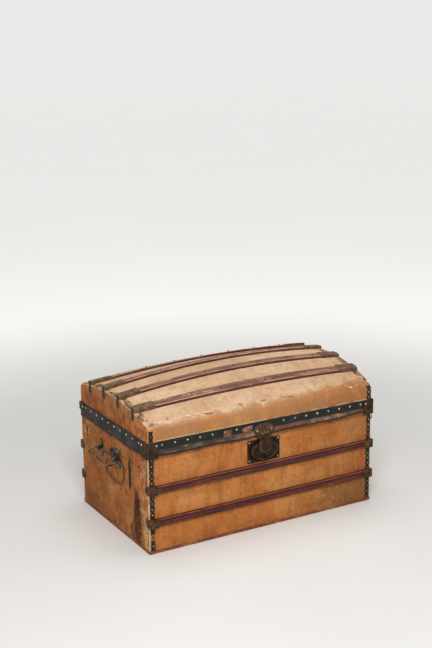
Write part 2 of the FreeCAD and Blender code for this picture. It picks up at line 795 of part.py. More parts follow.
def make_caps():
    """Corner caps: an angle of sheet over each corner of the band."""
    caps = []
    for side, y_sign in SIDES:
        under = band_face if side == "front" else d.band_thickness
        foot = flap_foot if side == "front" else lid_foot
        for end, x_sign in ENDS:
            x_in, x_out = half_w + band_face, half_w + cap_face
            y_in, y_out = half_d + under, half_d + under + d.cap_thickness
            x_leg, y_leg = half_w - d.cap_leg, half_d - d.cap_leg
            corners = [(x_leg, y_in), (x_leg, y_out), (x_out, y_out, d.cap_radius), (x_out, y_leg),
                       (x_in, y_leg), (x_in, y_in)]
            corners = [(c[0] * x_sign, c[1] * y_sign, *c[2:]) for c in corners]
            cap = padded(f"cap_{side}_{end}", "xy", corners, band_top - foot)
            caps.append(place(cap, 0, 0, foot))
    node("corner_caps", group("corner_caps", caps))


def make_band_nails():
    """Nails along the band and one on each leg of the corner caps."""
    z = band_top - d.band_nail_drop
    pitch = SIZES["band_nail_pitch"]
    front_y = -(half_d + band_face)
    limit = half_w.value - SIZES["cap_leg"] - 12
    hasp_half = SIZES["hasp_plate_width"] / 2 + SIZES["nail_radius"] + 1
    heads = []
    for number, x in enumerate(spread(-limit, limit, pitch)):
        if abs(x - SIZES["lock_x"]) > hasp_half:
            heads.append(nail(f"band_front_nail_{number}", x, front_y, z, "-y"))
        if abs(abs(x) - SIZES["hinge_x"]) > hinge_clear.value + SIZES["nail_radius"]:
            heads.append(nail(f"band_back_nail_{number}", x, half_d + d.band_thickness, z, "+y"))
    limit = half_d.value - SIZES["cap_leg"] - 12
    for end, sign in ENDS:
        facing = "-x" if sign < 0 else "+x"
        for number, y in enumerate(spread(-limit, limit, pitch)):
            heads.append(nail(f"band_{end}_nail_{number}", (half_w + band_face) * sign, y, z, facing))
        for side, y_sign in SIDES:
            out = cap_face if side == "front" else d.band_thickness + d.cap_thickness
            heads.append(nail(f"cap_{side}_{end}_nail", (half_w - d.cap_leg + 6) * sign,
                              (half_d + out) * y_sign, z, "-y" if y_sign < 0 else "+y"))
            heads.append(nail(f"cap_{side}_{end}_end_nail", (half_w + cap_face) * sign,
                              (half_d - d.cap_leg + 6) * y_sign, z, facing))
    node("band_nails", group("band_nails", heads))


# ---------------------------------------------------------------- lock and hasp

def oval_block(name, length, height, back_y, depth):
    """An upright oval block on the lock's centre, standing forward from back_y."""
    oval = doc.addObject("Part::Ellipse", f"{name}_oval")
    bind(oval, "MajorRadius", length / 2)
    bind(oval, "MinorRadius", height / 2)
    place(oval, d.lock_x, back_y, lock_z, Rotation(Vector(1, 0, 0), 90))
    block = doc.addObject("Part::Extrusion", f"{name}_solid")
    block.Base = oval
    block.DirMode = "Custom"
    block.Dir = Vector(0, -1, 0)
    block.Solid = True
    bind(block, "LengthFwd", depth)
    return block


def make_lock():
    """Back plate with four nails and a rimmed oval case, grooved for the staple, with a keyhole."""
    face = half_d
    x_half, z_half = d.lock_width / 2, d.lock_height / 2
    corners = [(-x_half, -z_half, d.lock_corner), (x_half, -z_half, d.lock_corner),
               (x_half, z_half, d.lock_corner), (-x_half, z_half, d.lock_corner)]
    plate = padded("lock_plate", "xz", corners, d.lock_plate)
    node("lock_plate", place(plate, d.lock_x, -face, lock_z))
    inset = d.nail_radius + 3
    heads = [nail(f"lock_nail_{i}{k}", d.lock_x + (x_half - inset) * i, -(face + d.lock_plate),
                  lock_z + (z_half - inset) * k, "-y", d.nail_radius * 0.8)
             for i in (-1, 1) for k in (-1, 1)]
    node("lock_nails", group("lock_nails", heads))

    solid = oval_block("lock_case", d.case_length, d.case_height, -(face + d.lock_plate), d.case_depth)
    doc.recompute()
    rounded = doc.addObject("Part::Fillet", "lock_case_round")
    rounded.Base = solid
    front = solid.Shape.BoundBox.YMin
    rounded.Edges = [(i, d.case_round.value, d.case_round.value)
                     for i, edge in enumerate(solid.Shape.Edges, start=1)
                     if abs(edge.BoundBox.YMax - front) < 1e-3]
    case_y = -(face + d.lock_plate + d.case_depth)
    dish = oval_block("lock_dish", d.case_length - d.case_rim * 2, d.case_height - d.case_rim * 2,
                      case_y + d.case_dish, d.case_dish + 1)
    groove = box("lock_groove", (d.lock_x - d.groove_width / 2, d.lock_x + d.groove_width / 2),
                 (case_y - 1, case_y + d.groove_depth),
                 (lock_z + d.groove_rise, lock_z + d.case_height))
    key_z = lock_z - d.keyhole_drop
    eye = cylinder("keyhole_eye", d.keyhole_radius, d.keyhole_depth + 1,
                   (d.lock_x, case_y - 1, key_z + d.keyhole_slot / 2), "y")
    slot = box("keyhole_slot", (d.lock_x - d.keyhole_radius / 2, d.lock_x + d.keyhole_radius / 2),
               (case_y - 1, case_y + d.keyhole_depth),
               (key_z - d.keyhole_slot / 2, key_z + d.keyhole_slot / 2))
    openings = fuse("lock_openings", [dish, groove, fuse("keyhole", [eye, slot])])
    node("lock_case", cut("lock_case", rounded, openings))


hasp_y = half_d + band_face + d.hasp_knuckle_radius
hasp_axis_y = -hasp_y


def knuckles(name, pieces, radius, bore, y, z):
    """Barrels along X at y, z with one bore through them all; pieces are (low, high) pairs."""
    barrels = [cylinder(f"{name}_barrel_{i}", radius, high - low, (low, y, z), "x")
               for i, (low, high) in enumerate(pieces)]
    low, high = pieces[0][0], pieces[-1][1]
    hole = cylinder(f"{name}_bore", bore, high - low + 2, (low - 1, y, z), "x")
    return barrels, hole


def make_hasp():
    """Arched hasp plate riveted over the band, its pin, and the tongue that locks."""
    x, z = d.lock_x, hasp_axis_z
    foot = d.hasp_knuckle_radius + d.knuckle_gap
    half, neck = d.hasp_plate_width / 2, d.hasp_neck / 2
    middle = d.hasp_middle / 2
    back = half_d + d.lock_plate + d.case_depth + d.nail_clearance * 2
    top = foot + d.hasp_plate_height
    shoulder = foot + d.hasp_plate_height * 0.45
    arch = d.hasp_plate_height * 0.5
    corners = [(-neck, foot), (neck, foot), (half, shoulder), (half, top, arch), (-half, top, arch),
               (-half, shoulder)]
    plate = padded("hasp_plate_sheet", "xz", corners, d.hasp_plate_sheet)
    place(plate, x, -(half_d + band_face), z)
    outer = [(x - neck, x - middle - d.knuckle_gap), (x + middle + d.knuckle_gap, x + neck)]
    bore = d.hasp_pin_radius + d.pin_clearance
    barrels, hole = knuckles("hasp_plate", outer, d.hasp_knuckle_radius, bore, hasp_axis_y, z)
    webs = [box(f"hasp_web_{i}", pair, (-(half_d + band_face + d.hasp_plate_sheet), -(half_d + band_face)),
                (z, z + foot + 1)) for i, pair in enumerate(outer)]
    # The tongue's web swings past the plate's lower edge, so the edge is notched there.
    swing = back + d.tongue_sheet - hasp_y + d.knuckle_gap
    notch = box("hasp_notch", (x - middle - d.knuckle_gap, x + middle + d.knuckle_gap),
                (-(half_d + band_face + d.hasp_plate_sheet + 1), -half_d), (z, z + swing))
    solid = fuse("hasp_plate_solid", [plate] + barrels + webs)
    node("hasp_plate", cut("hasp_plate", solid, fuse("hasp_plate_holes", [hole, notch])))
    node("hasp_pin", cylinder("hasp_pin", d.hasp_pin_radius, neck * 2, (x - neck, hasp_axis_y, z), "x"))
    rivet_y = -(half_d + band_face + d.hasp_plate_sheet)
    rivets = [nail(f"hasp_rivet_{i}", x + d.hasp_plate_width * 0.36 * i, rivet_y, z + shoulder, "-y",
                   d.small_nail_radius) for i in (-1, 1)]
    node("hasp_rivets", group("hasp_rivets", rivets))

    tongue_half = d.tongue_width / 2
    corners = [(-tongue_half, -foot), (-tongue_half, -d.tongue_length, d.tongue_round),
               (0, -(d.tongue_length + d.tongue_tip), d.tongue_round),
               (tongue_half, -d.tongue_length, d.tongue_round), (tongue_half, -foot)]
    sheet = padded("hasp_tongue_sheet", "xz", corners, d.tongue_sheet)
    place(sheet, x, -back, z)
    inner = [(x - middle, x + middle)]
    barrels, hole = knuckles("hasp_tongue", inner, d.hasp_knuckle_radius, bore, hasp_axis_y, z)
    web = box("hasp_tongue_web", inner[0], (-(back + d.tongue_sheet), -back), (z - foot - 1, z))
    staple_z = z - d.tongue_length * 0.66
    staple = box("hasp_staple", (x - d.staple_width / 2, x + d.staple_width / 2),
                 (-back, -(back - d.staple_depth)), (staple_z, staple_z + d.staple_height))
    eye = cylinder("hasp_staple_eye", d.staple_depth / 3, d.staple_width + 2,
                   (x - d.staple_width / 2 - 1, -(back - d.staple_depth / 2), staple_z + d.staple_height / 2),
                   "x")
    solid = fuse("hasp_tongue_solid", [sheet, web, staple] + barrels)
    node("hasp_tongue", cut("hasp_tongue", solid, fuse("hasp_tongue_holes", [hole, eye])))


# ---------------------------------------------------------------- lid hinges

def make_hinges():
    """Two stop hinges on the back: leaf on the carcass, leaf on the lid, and a pin."""
    y = half_d + d.hinge_radius + d.hinge_setout
    z = d.body_height
    bore = d.hinge_pin_radius + d.pin_clearance
    leaf_y = (half_d, half_d + d.leaf_thickness)
    reach = d.hinge_radius + d.knuckle_gap
    pins = []
    for end, sign in ENDS:
        x = d.hinge_x * sign
        half, middle = d.hinge_width / 2, d.hinge_middle / 2
        outer = [(x - half, x - middle - d.knuckle_gap), (x + middle + d.knuckle_gap, x + half)]
        name = f"{end}_hinge_body_leaf"
        plate = box(f"{name}_plate", (x - half, x + half), leaf_y, (z - d.leaf_length, z - reach))
        webs = [box(f"{name}_web_{i}", pair, leaf_y, (z - reach - 1, z - 1)) for i, pair in enumerate(outer)]
        barrels, hole = knuckles(name, outer, d.hinge_radius, bore, y, z)
        node(name, cut(name, fuse(f"{name}_solid", [plate] + webs + barrels), hole))

        name = f"{end}_hinge_lid_leaf"
        inner = [(x - middle, x + middle)]
        plate = box(f"{name}_plate", (x - half, x + half), leaf_y, (z + reach, z + d.leaf_length))
        web = box(f"{name}_web", inner[0], leaf_y, (z + 1, z + reach + 1))
        barrels, hole = knuckles(name, inner, d.hinge_radius, bore, y, z)
        lug = doc.addObject("Part::Box", f"{name}_lug")
        bind(lug, "Length", d.hinge_middle)
        bind(lug, "Width", d.stop_sheet)
        bind(lug, "Height", d.stop_length)
        # The lug lies against the carcass leaf when the lid is fully open, so it is
        # drawn there and turned back to the closed lid about the hinge axis.
        seat = (d.hinge_radius + d.hinge_setout - d.leaf_thickness - d.flap_clearance).value
        back = Rotation(Vector(1, 0, 0), d.lid_opening.value)
        corner = Vector(-middle.value, -seat, -SIZES["stop_length"])
        lug.Placement = Placement(Vector(x.value, y.value, z.value) + back.multVec(corner), back)
        solid = fuse(f"{name}_solid", [plate, web, lug] + barrels)
        node(name, cut(name, solid, hole))
        pins.append(cylinder(f"{end}_hinge_pin", d.hinge_pin_radius, d.hinge_width, (x - half, y, z), "x"))
    node("hinge_pins", group("hinge_pins", pins))


# ---------------------------------------------------------------- handles

def make_handles():
    """Each end has two nailed eye brackets and a closed wire bail that turns in them."""
    axis_x = half_w + d.handle_standoff
    heads = []
    for end, sign in ENDS:
        for side, y, width in (("front", d.handle_front, d.front_bracket_width),
                               ("back", d.handle_back, d.back_bracket_width)):
            name = f"{end}_{side}_handle_bracket"
            y_half, z_half = width / 2, d.bracket_height / 2
            round_r = width * d.bracket_round
            corners = [(-y_half, -z_half, round_r), (y_half, -z_half, round_r),
                       (y_half, z_half, round_r), (-y_half, z_half, round_r)]
            plate = padded(f"{name}_plate", "yz", corners, d.bracket_sheet, reverse=sign < 0)
            place(plate, half_w * sign, y, handle_z)
            eye_start = y - d.eye_length / 2
            eye = cylinder(f"{name}_eye", d.eye_radius, d.eye_length,
                           (axis_x * sign, eye_start, handle_z), "y")
            web = box(f"{name}_web", span(sign, half_w, axis_x), (eye_start, eye_start + d.eye_length),
                      (handle_z - d.eye_radius * 0.7, handle_z + d.eye_radius * 0.7))
            hole = cylinder(f"{name}_hole", d.rod_radius + d.eye_clearance, d.eye_length + 2,
                            (axis_x * sign, eye_start - 1, handle_z), "y")
            node(name, cut(name, fuse(f"{name}_solid", [plate, eye, web]), hole))
            for rise in (-1, 1):
                heads.append(nail(f"{name}_nail_{rise}", (half_w + d.bracket_sheet) * sign, y,
                                  handle_z + (z_half - d.bracket_nail_inset) * rise,
                                  "-x" if sign < 0 else "+x"))

        start = d.handle_front - d.bail_overhang
        length = d.handle_back - d.handle_front + d.bail_overhang * 2
        bend = d.bail_reach / 2
        runs = [cylinder(f"{end}_bail_inner", d.rod_radius, length, (0, start, 0), "y"),
                cylinder(f"{end}_bail_outer", d.rod_radius, length, (d.bail_reach * sign, start, 0), "y")]
        for side, y in (("front", start), ("back", start + length)):
            ring = doc.addObject("Part::Torus", f"{end}_bail_{side}_bend")
            bind(ring, "Radius1", bend)
            bind(ring, "Radius2", d.rod_radius)
            ring.Angle3 = 180
            place(ring, bend * sign, y, 0, Rotation(Vector(0, 0, 1), 180 if side == "front" else 0))
            runs.append(ring)
        bail = fuse(f"{end}_bail", runs)
        node(f"{end}_bail", place(bail, axis_x * sign, 0, handle_z,
                                  Rotation(Vector(0, sign, 0), SIZES["bail_droop"])))
    node("handle_nails", group("handle_nails", heads))


# Route of the hanging thong on the left end, from the lower nail round to the upper. Each point
# is (y, drop), the drop measured down from the carcass's upper rim.
THONG_ROUTE = [(43, 110), (43, 129), (30, 143.5), (4, 149.5), (-24, 152), (-51, 150),
               (-71, 136), (-78, 113), (-73.5, 90), (-53, 68), (-53, 47)]


def make_thong():
    """A thin leather thong hanging in a loop from two square nails beside the left handle."""
    x = -(SIZES["trunk_width"] / 2 + SIZES["thong_standoff"])
    route = [Vector(x, y, SIZES["body_height"] - drop) for y, drop in THONG_ROUTE]
    edges, here, radii = [], route[0], []
    for before, corner, after in zip(route, route[1:], route[2:]):
        into, out = (corner - before), (after - corner)
        back = 0.45 * min(into.Length, out.Length)
        radii.append(back / math.tan(into.getAngle(out) / 2))
        first, last = corner - into.normalize() * back, corner + out.normalize() * back
        across = ((first - corner) + (last - corner)).normalize()
        centre_gap = math.hypot(back, radii[-1])
        middle = corner + across * (centre_gap - radii[-1])
        edges += [Part.LineSegment(here, first).toShape(), Part.Arc(first, middle, last).toShape()]
        here = last
    edges.append(Part.LineSegment(here, route[-1]).toShape())
    path = Part.Wire(edges)
    ring = Part.Circle(route[0], route[1] - route[0], SIZES["thong_radius"]).toShape()
    tube = path.makePipeShell([Part.Wire([ring])], True, False)
    expected = math.pi * SIZES["thong_radius"] ** 2 * path.Length
    print("thong radii", [round(r, 1) for r in radii], "length", round(path.Length, 1),
          "volume ratio", round(tube.Volume / expected, 4))
    thong = doc.addObject("Part::Feature", "hanging_thong")
    thong.Shape = tube
    node("hanging_thong", thong)
    pegs = [box(f"thong_nail_{i}", span(-1, half_w, half_w + d.thong_nail_length),
                (Size.of(y) - d.thong_nail_side / 2, Size.of(y) + d.thong_nail_side / 2),
                (d.body_height - drop, d.body_height - drop + d.thong_nail_side))
            for i, (y, drop) in enumerate((THONG_ROUTE[0], THONG_ROUTE[-1]))]
    node("thong_nails", group("thong_nails", pegs))


# ---------------------------------------------------------------- build and export

def export_nodes():
    """Check every object, then write each sub-part to its own file."""
    doc.recompute()
    for item in doc.Objects:
        if "Invalid" in item.State or "Error" in item.State:
            raise RuntimeError(f"{item.Name} failed: {item.State}")
    os.makedirs("parts", exist_ok=True)
    for item in nodes:
        if item.Shape.isNull() or not item.Shape.isValid() or not item.Shape.Solids:
            raise RuntimeError(f"{item.Label} has no valid shape")
    for item in nodes:
        item.Shape.exportStep(f"parts/{item.Label}.step")
    print(len(nodes), "sub-parts")


make_boards()
make_body_canvas()
make_body_lining()
make_edging()
make_body_slats()
make_body_clamps()
make_corner_strips()
make_body_nails()
dome_slats, dome_centres = make_dome_slats(make_lid_shell())
make_dome_nails(dome_slats, dome_centres)
make_band()
make_flaps()
make_caps()
make_band_nails()
make_lock()
make_hasp()
make_hinges()
make_handles()
make_thong()
export_nodes()
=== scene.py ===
import logging
import math
import random
from dataclasses import dataclass
from enum import Enum
from typing import Optional

import bmesh
import bpy
from mathutils import Matrix, Vector, noise
from mathutils.bvhtree import BVHTree


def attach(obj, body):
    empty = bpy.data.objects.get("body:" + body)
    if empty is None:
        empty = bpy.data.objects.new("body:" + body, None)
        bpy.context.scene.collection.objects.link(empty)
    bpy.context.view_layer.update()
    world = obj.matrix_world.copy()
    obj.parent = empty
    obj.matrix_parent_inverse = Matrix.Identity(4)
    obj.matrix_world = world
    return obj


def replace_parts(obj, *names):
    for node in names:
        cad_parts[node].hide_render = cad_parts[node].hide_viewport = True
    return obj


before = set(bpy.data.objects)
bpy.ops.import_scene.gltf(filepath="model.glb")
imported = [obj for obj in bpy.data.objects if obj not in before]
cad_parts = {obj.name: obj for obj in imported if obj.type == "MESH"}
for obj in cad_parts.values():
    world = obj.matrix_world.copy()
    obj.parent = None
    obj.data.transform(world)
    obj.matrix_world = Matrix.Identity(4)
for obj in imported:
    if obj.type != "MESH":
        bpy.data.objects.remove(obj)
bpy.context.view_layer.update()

# Dome top trunk. Metres, +Z up, front towards -Y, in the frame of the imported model.

LOG = logging.getLogger("trunk")

Colour = tuple[float, float, float]
Point = tuple[float, float, float]
Socket = bpy.types.NodeSocket

HALF_WIDTH = 0.375  # from the middle to the canvas on either end
HALF_DEPTH = 0.221  # from the middle to the canvas on the front and back
THROUGH = 0.02      # how far a painted mark reaches through the face that it lies on
RAY_START = 0.4     # outside everything: where a ray aimed at the trunk begins
FLAT = 0.99         # a normal with this much along an axis is square to it
JOIN_ANGLE = 0.01   # faces that meet at less than this, in radians, are one
WELD = 2e-5         # joins the points that a pressed sphere leaves on each other
SEED = 7            # of the random draws and of the noise that dents the nail heads
RAYS = ("Is Camera Ray", "Is Glossy Ray", "Is Transmission Ray")


def srgb(red: int, green: int, blue: int) -> Colour:
    """Turn a colour written in screen values into linear light.

    Args:
        red: Red from 0 to 255.
        green: Green from 0 to 255.
        blue: Blue from 0 to 255.

    Returns:
        The three linear values.
    """
    def one(value: int) -> float:
        """Turn one channel into linear light."""
        share = value / 255
        return share / 12.92 if share <= 0.04045 else ((share + 0.055) / 1.055) ** 2.4

    return one(red), one(green), one(blue)


# ---------------------------------------------------------------- node painting

class Painter:
    """Builds one procedural finish out of layers over a base colour.

    Every pattern reads Object coordinates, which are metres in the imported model's frame.
    """

    def __init__(self, name: str, base: Colour, metallic: float = 0.0, rough: float = 0.6,
                 specular: float = 0.3) -> None:
        """Start a finish.

        Args:
            name: The material's name.
            base: The linear base colour.
            metallic: The shader's metallic value.
            rough: The roughness where no layer changes it.
            specular: The shader's specular level.
        """
        self.material = bpy.data.materials.new(name)
        self.material.use_nodes = True
        self.tree = self.material.node_tree
        self.shader = self.tree.nodes["Principled BSDF"]
        self.shader.inputs["Metallic"].default_value = metallic
        self.shader.inputs["Roughness"].default_value = rough
        self.shader.inputs["Specular IOR Level"].default_value = specular
        self.shader.inputs["Base Color"].default_value = (*base, 1.0)
        self.colour: Optional[Socket] = None
        self.base = base
        self.rough: Optional[Socket] = None
        self.rough_start = rough
        self.height: Optional[Socket] = None
        self.place = self.node("ShaderNodeTexCoord").outputs["Object"]

    def node(self, kind: str, **values: object) -> bpy.types.Node:
        """Add a node and set its properties.

        Args:
            kind: The node's type.
            values: Its properties.

        Returns:
            The node.
        """
        item = self.tree.nodes.new(kind)
        for key, value in values.items():
            setattr(item, key, value)
        return item

    def feed(self, socket: Socket, value: object) -> None:
        """Link a socket to another, or set its plain value.

        Args:
            socket: The input.
            value: A socket, a number, a vector or a colour.
        """
        if isinstance(value, bpy.types.NodeSocket):
            self.tree.links.new(value, socket)
        elif isinstance(value, tuple) and len(value) == 3 and socket.type == "RGBA":
            socket.default_value = (*value, 1.0)
        else:
            socket.default_value = value

    def moved(self, scale: Point, shift: Point) -> Socket:
        """Object coordinates scaled and shifted.

        Args:
            scale: Stretch along each axis.
            shift: Move along each axis, in metres.

        Returns:
            The mapped coordinates.
        """
        item = self.node("ShaderNodeMapping")
        item.inputs["Scale"].default_value = scale
        item.inputs["Location"].default_value = shift
        self.feed(item.inputs["Vector"], self.place)
        return item.outputs["Vector"]

    def maths(self, operation: str, *values: object) -> Socket:
        """One arithmetic step.

        Args:
            operation: What the step does.
            values: Sockets or numbers.

        Returns:
            The result.
        """
        item = self.node("ShaderNodeMath", operation=operation)
        for socket, value in zip(item.inputs, values):
            self.feed(socket, value)
        return item.outputs[0]

    def times(self, first: object, *others: object) -> Socket:
        """The product of masks or numbers.

        Args:
            first: A mask.
            others: What it is multiplied by, in turn.

        Returns:
            The product.
        """
        for other in others:
            first = self.maths("MULTIPLY", first, other)
        return first

    def split(self, vector: Optional[Socket] = None) -> list[Socket]:
        """The x, y and z of a vector.

        Args:
            vector: The vector, or nothing for the Object coordinates.

        Returns:
            The three sockets.
        """
        item = self.node("ShaderNodeSeparateXYZ")
        self.feed(item.inputs[0], self.place if vector is None else vector)
        return list(item.outputs)

    def ramp(self, value: Socket, low: float, high: float, first: float = 0.0,
             last: float = 1.0) -> Socket:
        """Map a value smoothly from one span to another, held at both ends.

        Args:
            value: The value.
            low: Where the span begins.
            high: Where it ends; it may lie below low.
            first: The result at low.
            last: The result at high.

        Returns:
            The mapped value.
        """
        item = self.node("ShaderNodeMapRange", interpolation_type="SMOOTHSTEP")
        for socket, number in zip(item.inputs, (value, low, high, first, last)):
            self.feed(socket, number)
        return item.outputs["Result"]

    def clouds(self, scale: float, detail: float = 3.0, low: float = 0.4, high: float = 0.6,
               stretch: Point = (1, 1, 1), shift: Point = (0, 0, 0), rough: float = 0.5,
               bend: float = 0.0) -> Socket:
        """Soft cloudy patches.

        Args:
            scale: Patches to a metre.
            detail: Octaves of finer noise.
            low: Where the patches begin.
            high: Where they are full.
            stretch: Stretch along each axis.
            shift: Offset, so that two layers differ.
            rough: How strong the finer octaves are.
            bend: Distortion of the pattern.

        Returns:
            A mask from 0 to 1.
        """
        item = self.node("ShaderNodeTexNoise")
        self.feed(item.inputs["Vector"], self.moved(stretch, shift))
        item.inputs["Scale"].default_value = scale
        item.inputs["Detail"].default_value = detail
        item.inputs["Roughness"].default_value = rough
        item.inputs["Distortion"].default_value = bend
        return self.ramp(item.outputs["Fac"], low, high)

    def flecks(self, scale: float, size: float, shift: Point) -> Socket:
        """Separate small spots.

        Args:
            scale: Spots to a metre.
            size: How much of its cell a spot fills.
            shift: Offset, so that two layers differ.

        Returns:
            A mask: 1 inside a spot and 0 between them.
        """
        item = self.node("ShaderNodeTexVoronoi", feature="F1")
        self.feed(item.inputs["Vector"], self.moved((1, 1, 1), shift))
        item.inputs["Scale"].default_value = scale
        return self.ramp(item.outputs["Distance"], size, size * 0.6)

    def threads(self, pitch: float, across: Point) -> Socket:
        """Parallel threads.

        Args:
            pitch: From one thread to the next, in metres.
            across: The direction across them.

        Returns:
            A mask: 1 on a thread's back and 0 between two threads.
        """
        item = self.node("ShaderNodeVectorMath", operation="DOT_PRODUCT")
        self.feed(item.inputs[0], self.place)
        item.inputs[1].default_value = across
        turns = self.times(item.outputs["Value"], 2 * math.pi / pitch)
        return self.maths("ADD", self.times(self.maths("SINE", turns), 0.5), 0.5)

    def layer(self, mask: object, colour: Colour, amount: float = 1.0) -> None:
        """Lay a colour over what is there.

        Args:
            mask: 1 where the colour goes.
            colour: The linear colour.
            amount: How much of it covers what is below.
        """
        item = self.node("ShaderNodeMix", data_type="RGBA")
        share = self.times(mask, amount) if amount != 1.0 else mask
        self.feed(item.inputs[0], share)
        self.feed(item.inputs[6], self.base if self.colour is None else self.colour)
        self.feed(item.inputs[7], colour)
        self.colour = item.outputs[2]

    def blot(self, mask: object, colour: Colour, amount: float, *cloud: object, **more: object) -> None:
        """Lay cloudy patches of a colour inside a mask; the rest is what clouds() takes."""
        self.layer(self.times(mask, self.clouds(*cloud, **more)), colour, amount)

    def glaze(self, mask: Socket, value: float) -> None:
        """Change the roughness.

        Args:
            mask: 1 where it changes.
            value: The new roughness.
        """
        item = self.node("ShaderNodeMix", data_type="FLOAT")
        self.feed(item.inputs[0], mask)
        self.feed(item.inputs[2], self.rough_start if self.rough is None else self.rough)
        self.feed(item.inputs[3], value)
        self.rough = item.outputs[0]

    def raise_by(self, mask: object, metres: float) -> None:
        """Add to the height that drives the bump."""
        part = self.times(mask, metres)
        self.height = part if self.height is None else self.maths("ADD", self.height, part)

    def done(self, strength: float = 1.0) -> bpy.types.Material:
        """Join the layers to the shader.

        Args:
            strength: The strength of the bump.

        Returns:
            The material.
        """
        if self.colour is not None:
            self.feed(self.shader.inputs["Base Color"], self.colour)
        if self.rough is not None:
            self.feed(self.shader.inputs["Roughness"], self.rough)
        if self.height is not None:
            bump = self.node("ShaderNodeBump")
            bump.inputs["Strength"].default_value = strength
            bump.inputs["Distance"].default_value = 1.0
            self.feed(bump.inputs["Height"], self.height)
            self.feed(self.shader.inputs["Normal"], bump.outputs["Normal"])
        return self.material


# ---------------------------------------------------------------- finishes

@dataclass(frozen=True)
class Canvas:
    """Aged glued canvas: a coarse weave with painted highlight on the threads and painted shade between them,
    grime, rubbed patches and stains.
    """

    name: str = "canvas"
    ground: Colour = srgb(194, 118, 58)
    # pale tone of rubbed patches and scratches, also the painted highlight on the weave
    pale_and_highlight: Colour = srgb(220, 154, 90)
    # dirt, also laid as painted shade between the threads and on the right part of the carcass
    grime: Colour = srgb(120, 72, 38)
    stain: Colour = srgb(80, 42, 28)
    thread: float = 0.0016
    body_marks: bool = True
    # how much painted shade lies in the gaps between the threads
    gap_shade: float = 1.0
    # how much painted highlight lies on the threads' backs
    slub_highlight: float = 0.30
    soil: float = 1.0
    warp: Point = (0, 0, 1)
    weft: Point = (0.7071, 0.7071, 0)

    def weathered(self) -> Painter:
        """Lay the clouds of grime and the rubbed patches.

        Returns:
            The finish, before its weave and its marks.
        """
        p = Painter(self.name, self.ground, rough=0.86, specular=0.15)
        p.layer(p.clouds(6.0, 6, 0.44, 0.64, rough=0.62), self.pale_and_highlight, 0.6)
        for scale, detail, low, high, stretch, shift, rough, bend, tone, amount in (
                (10.0, 9, 0.47, 0.68, (1, 1, 1), (3, 1, 2), 0.72, 0.5, self.grime, 0.42),
                (44.0, 6, 0.52, 0.68, (1, 1, 1), (1, 5, 2), 0.72, 0.0, self.grime, 0.42),
                (34.0, 5, 0.54, 0.72, (1, 1, 0.2), (4, 2, 6), 0.5, 0.0, self.grime, 0.38),
                (30.0, 5, 0.56, 0.72, (0.2, 0.2, 1), (9, 2, 3), 0.5, 0.0, self.pale_and_highlight, 0.35),
                (125.0, 5, 0.50, 0.66, (1, 1, 0.10), (7, 1, 4), 0.65, 0.0, self.grime, 0.30),
                (105.0, 5, 0.54, 0.68, (1, 1, 0.12), (2, 9, 1), 0.65, 0.0, self.pale_and_highlight, 0.30)):
            p.layer(p.clouds(scale, detail, low, high, stretch, shift, rough, bend), tone,
                    amount * self.soil)
        p.layer(p.clouds(150.0, 4, 0.58, 0.70, shift=(3, 3, 8), rough=0.6), self.stain, 0.45)
        p.layer(p.clouds(380.0, 4, 0.50, 0.70, (0.6, 0.6, 1), shift=(5, 3, 2), rough=0.7), self.grime,
                0.34 * self.soil)
        scratch = p.clouds(26.0, 3, 0.66, 0.69, stretch=(0.35, 1, 2.6), shift=(5, 5, 5), rough=0.75)
        p.layer(scratch, self.pale_and_highlight, 0.55)
        return p

    def weave(self, p: Painter) -> None:
        """Cross two sets of threads, with painted highlight on their backs where slubs thicken them and
        painted shade in the gaps between them.

        Args:
            p: The finish being painted.
        """
        cloth = p.maths("MAXIMUM", p.threads(self.thread, self.warp), p.threads(self.thread, self.weft))
        slub = p.clouds(220.0, 3, 0.4, 0.75, stretch=(0.5, 0.5, 1.0))
        # painted highlight on the threads' backs, in slubby patches
        p.layer(p.times(cloth, slub), self.pale_and_highlight, self.slub_highlight)
        # painted shade in the gaps between the threads
        p.layer(p.maths("SUBTRACT", 1.0, cloth), self.grime, 0.32 * self.gap_shade)
        p.raise_by(cloth, 0.00012)
        p.raise_by(p.clouds(14.0, 5, 0.2, 0.8, rough=0.6), 0.0014)
        p.raise_by(p.clouds(90.0, 3, 0.3, 0.7), 0.00018)

    def spots(self, p: Painter, axes: list, places: tuple, radius: float) -> Socket:
        """Small round marks on an end of the trunk.

        Args:
            p: The finish being painted.
            axes: The x, y and z sockets.
            places: The y and z of each mark.
            radius: Their radius.

        Returns:
            A mask from 0 to 1.
        """
        total: object = 0.0
        for across, high in places:
            far = p.maths("ADD",
                          p.maths("POWER", p.maths("SUBTRACT", axes[1], across), 2.0),
                          p.maths("POWER", p.maths("SUBTRACT", axes[2], high), 2.0))
            total = p.maths("MAXIMUM", total, p.ramp(far, (radius * 1.2) ** 2, (radius * 0.8) ** 2))
        return total

    def zone(self, p: Painter, axes: list, place: Point, size: Point, ragged: float,
             flow: float = 1.0) -> Socket:
        """A soft ragged spot round a place.

        Args:
            p: The finish being painted.
            axes: The x, y and z sockets.
            place: The middle of the spot.
            size: How far it reaches along each axis.
            ragged: How much noise breaks its edge.
            flow: Less than 1 draws the edge out into upright runs.

        Returns:
            A mask from 0 to 1.
        """
        total = None
        for socket, middle, reach in zip(axes, place, size):
            share = p.maths("DIVIDE", p.maths("SUBTRACT", socket, middle), reach)
            square = p.times(share, share)
            total = square if total is None else p.maths("ADD", total, square)
        torn = p.clouds(46.0, 6, 0.3, 0.7, (1, 1, flow), shift=(2, 8, 4),
                        rough=0.75 if flow == 1 else 0.6)
        edge = p.maths("ADD", total, p.times(p.maths("SUBTRACT", torn, 0.5), ragged * 4))
        return p.ramp(edge, 1.1, 0.55)

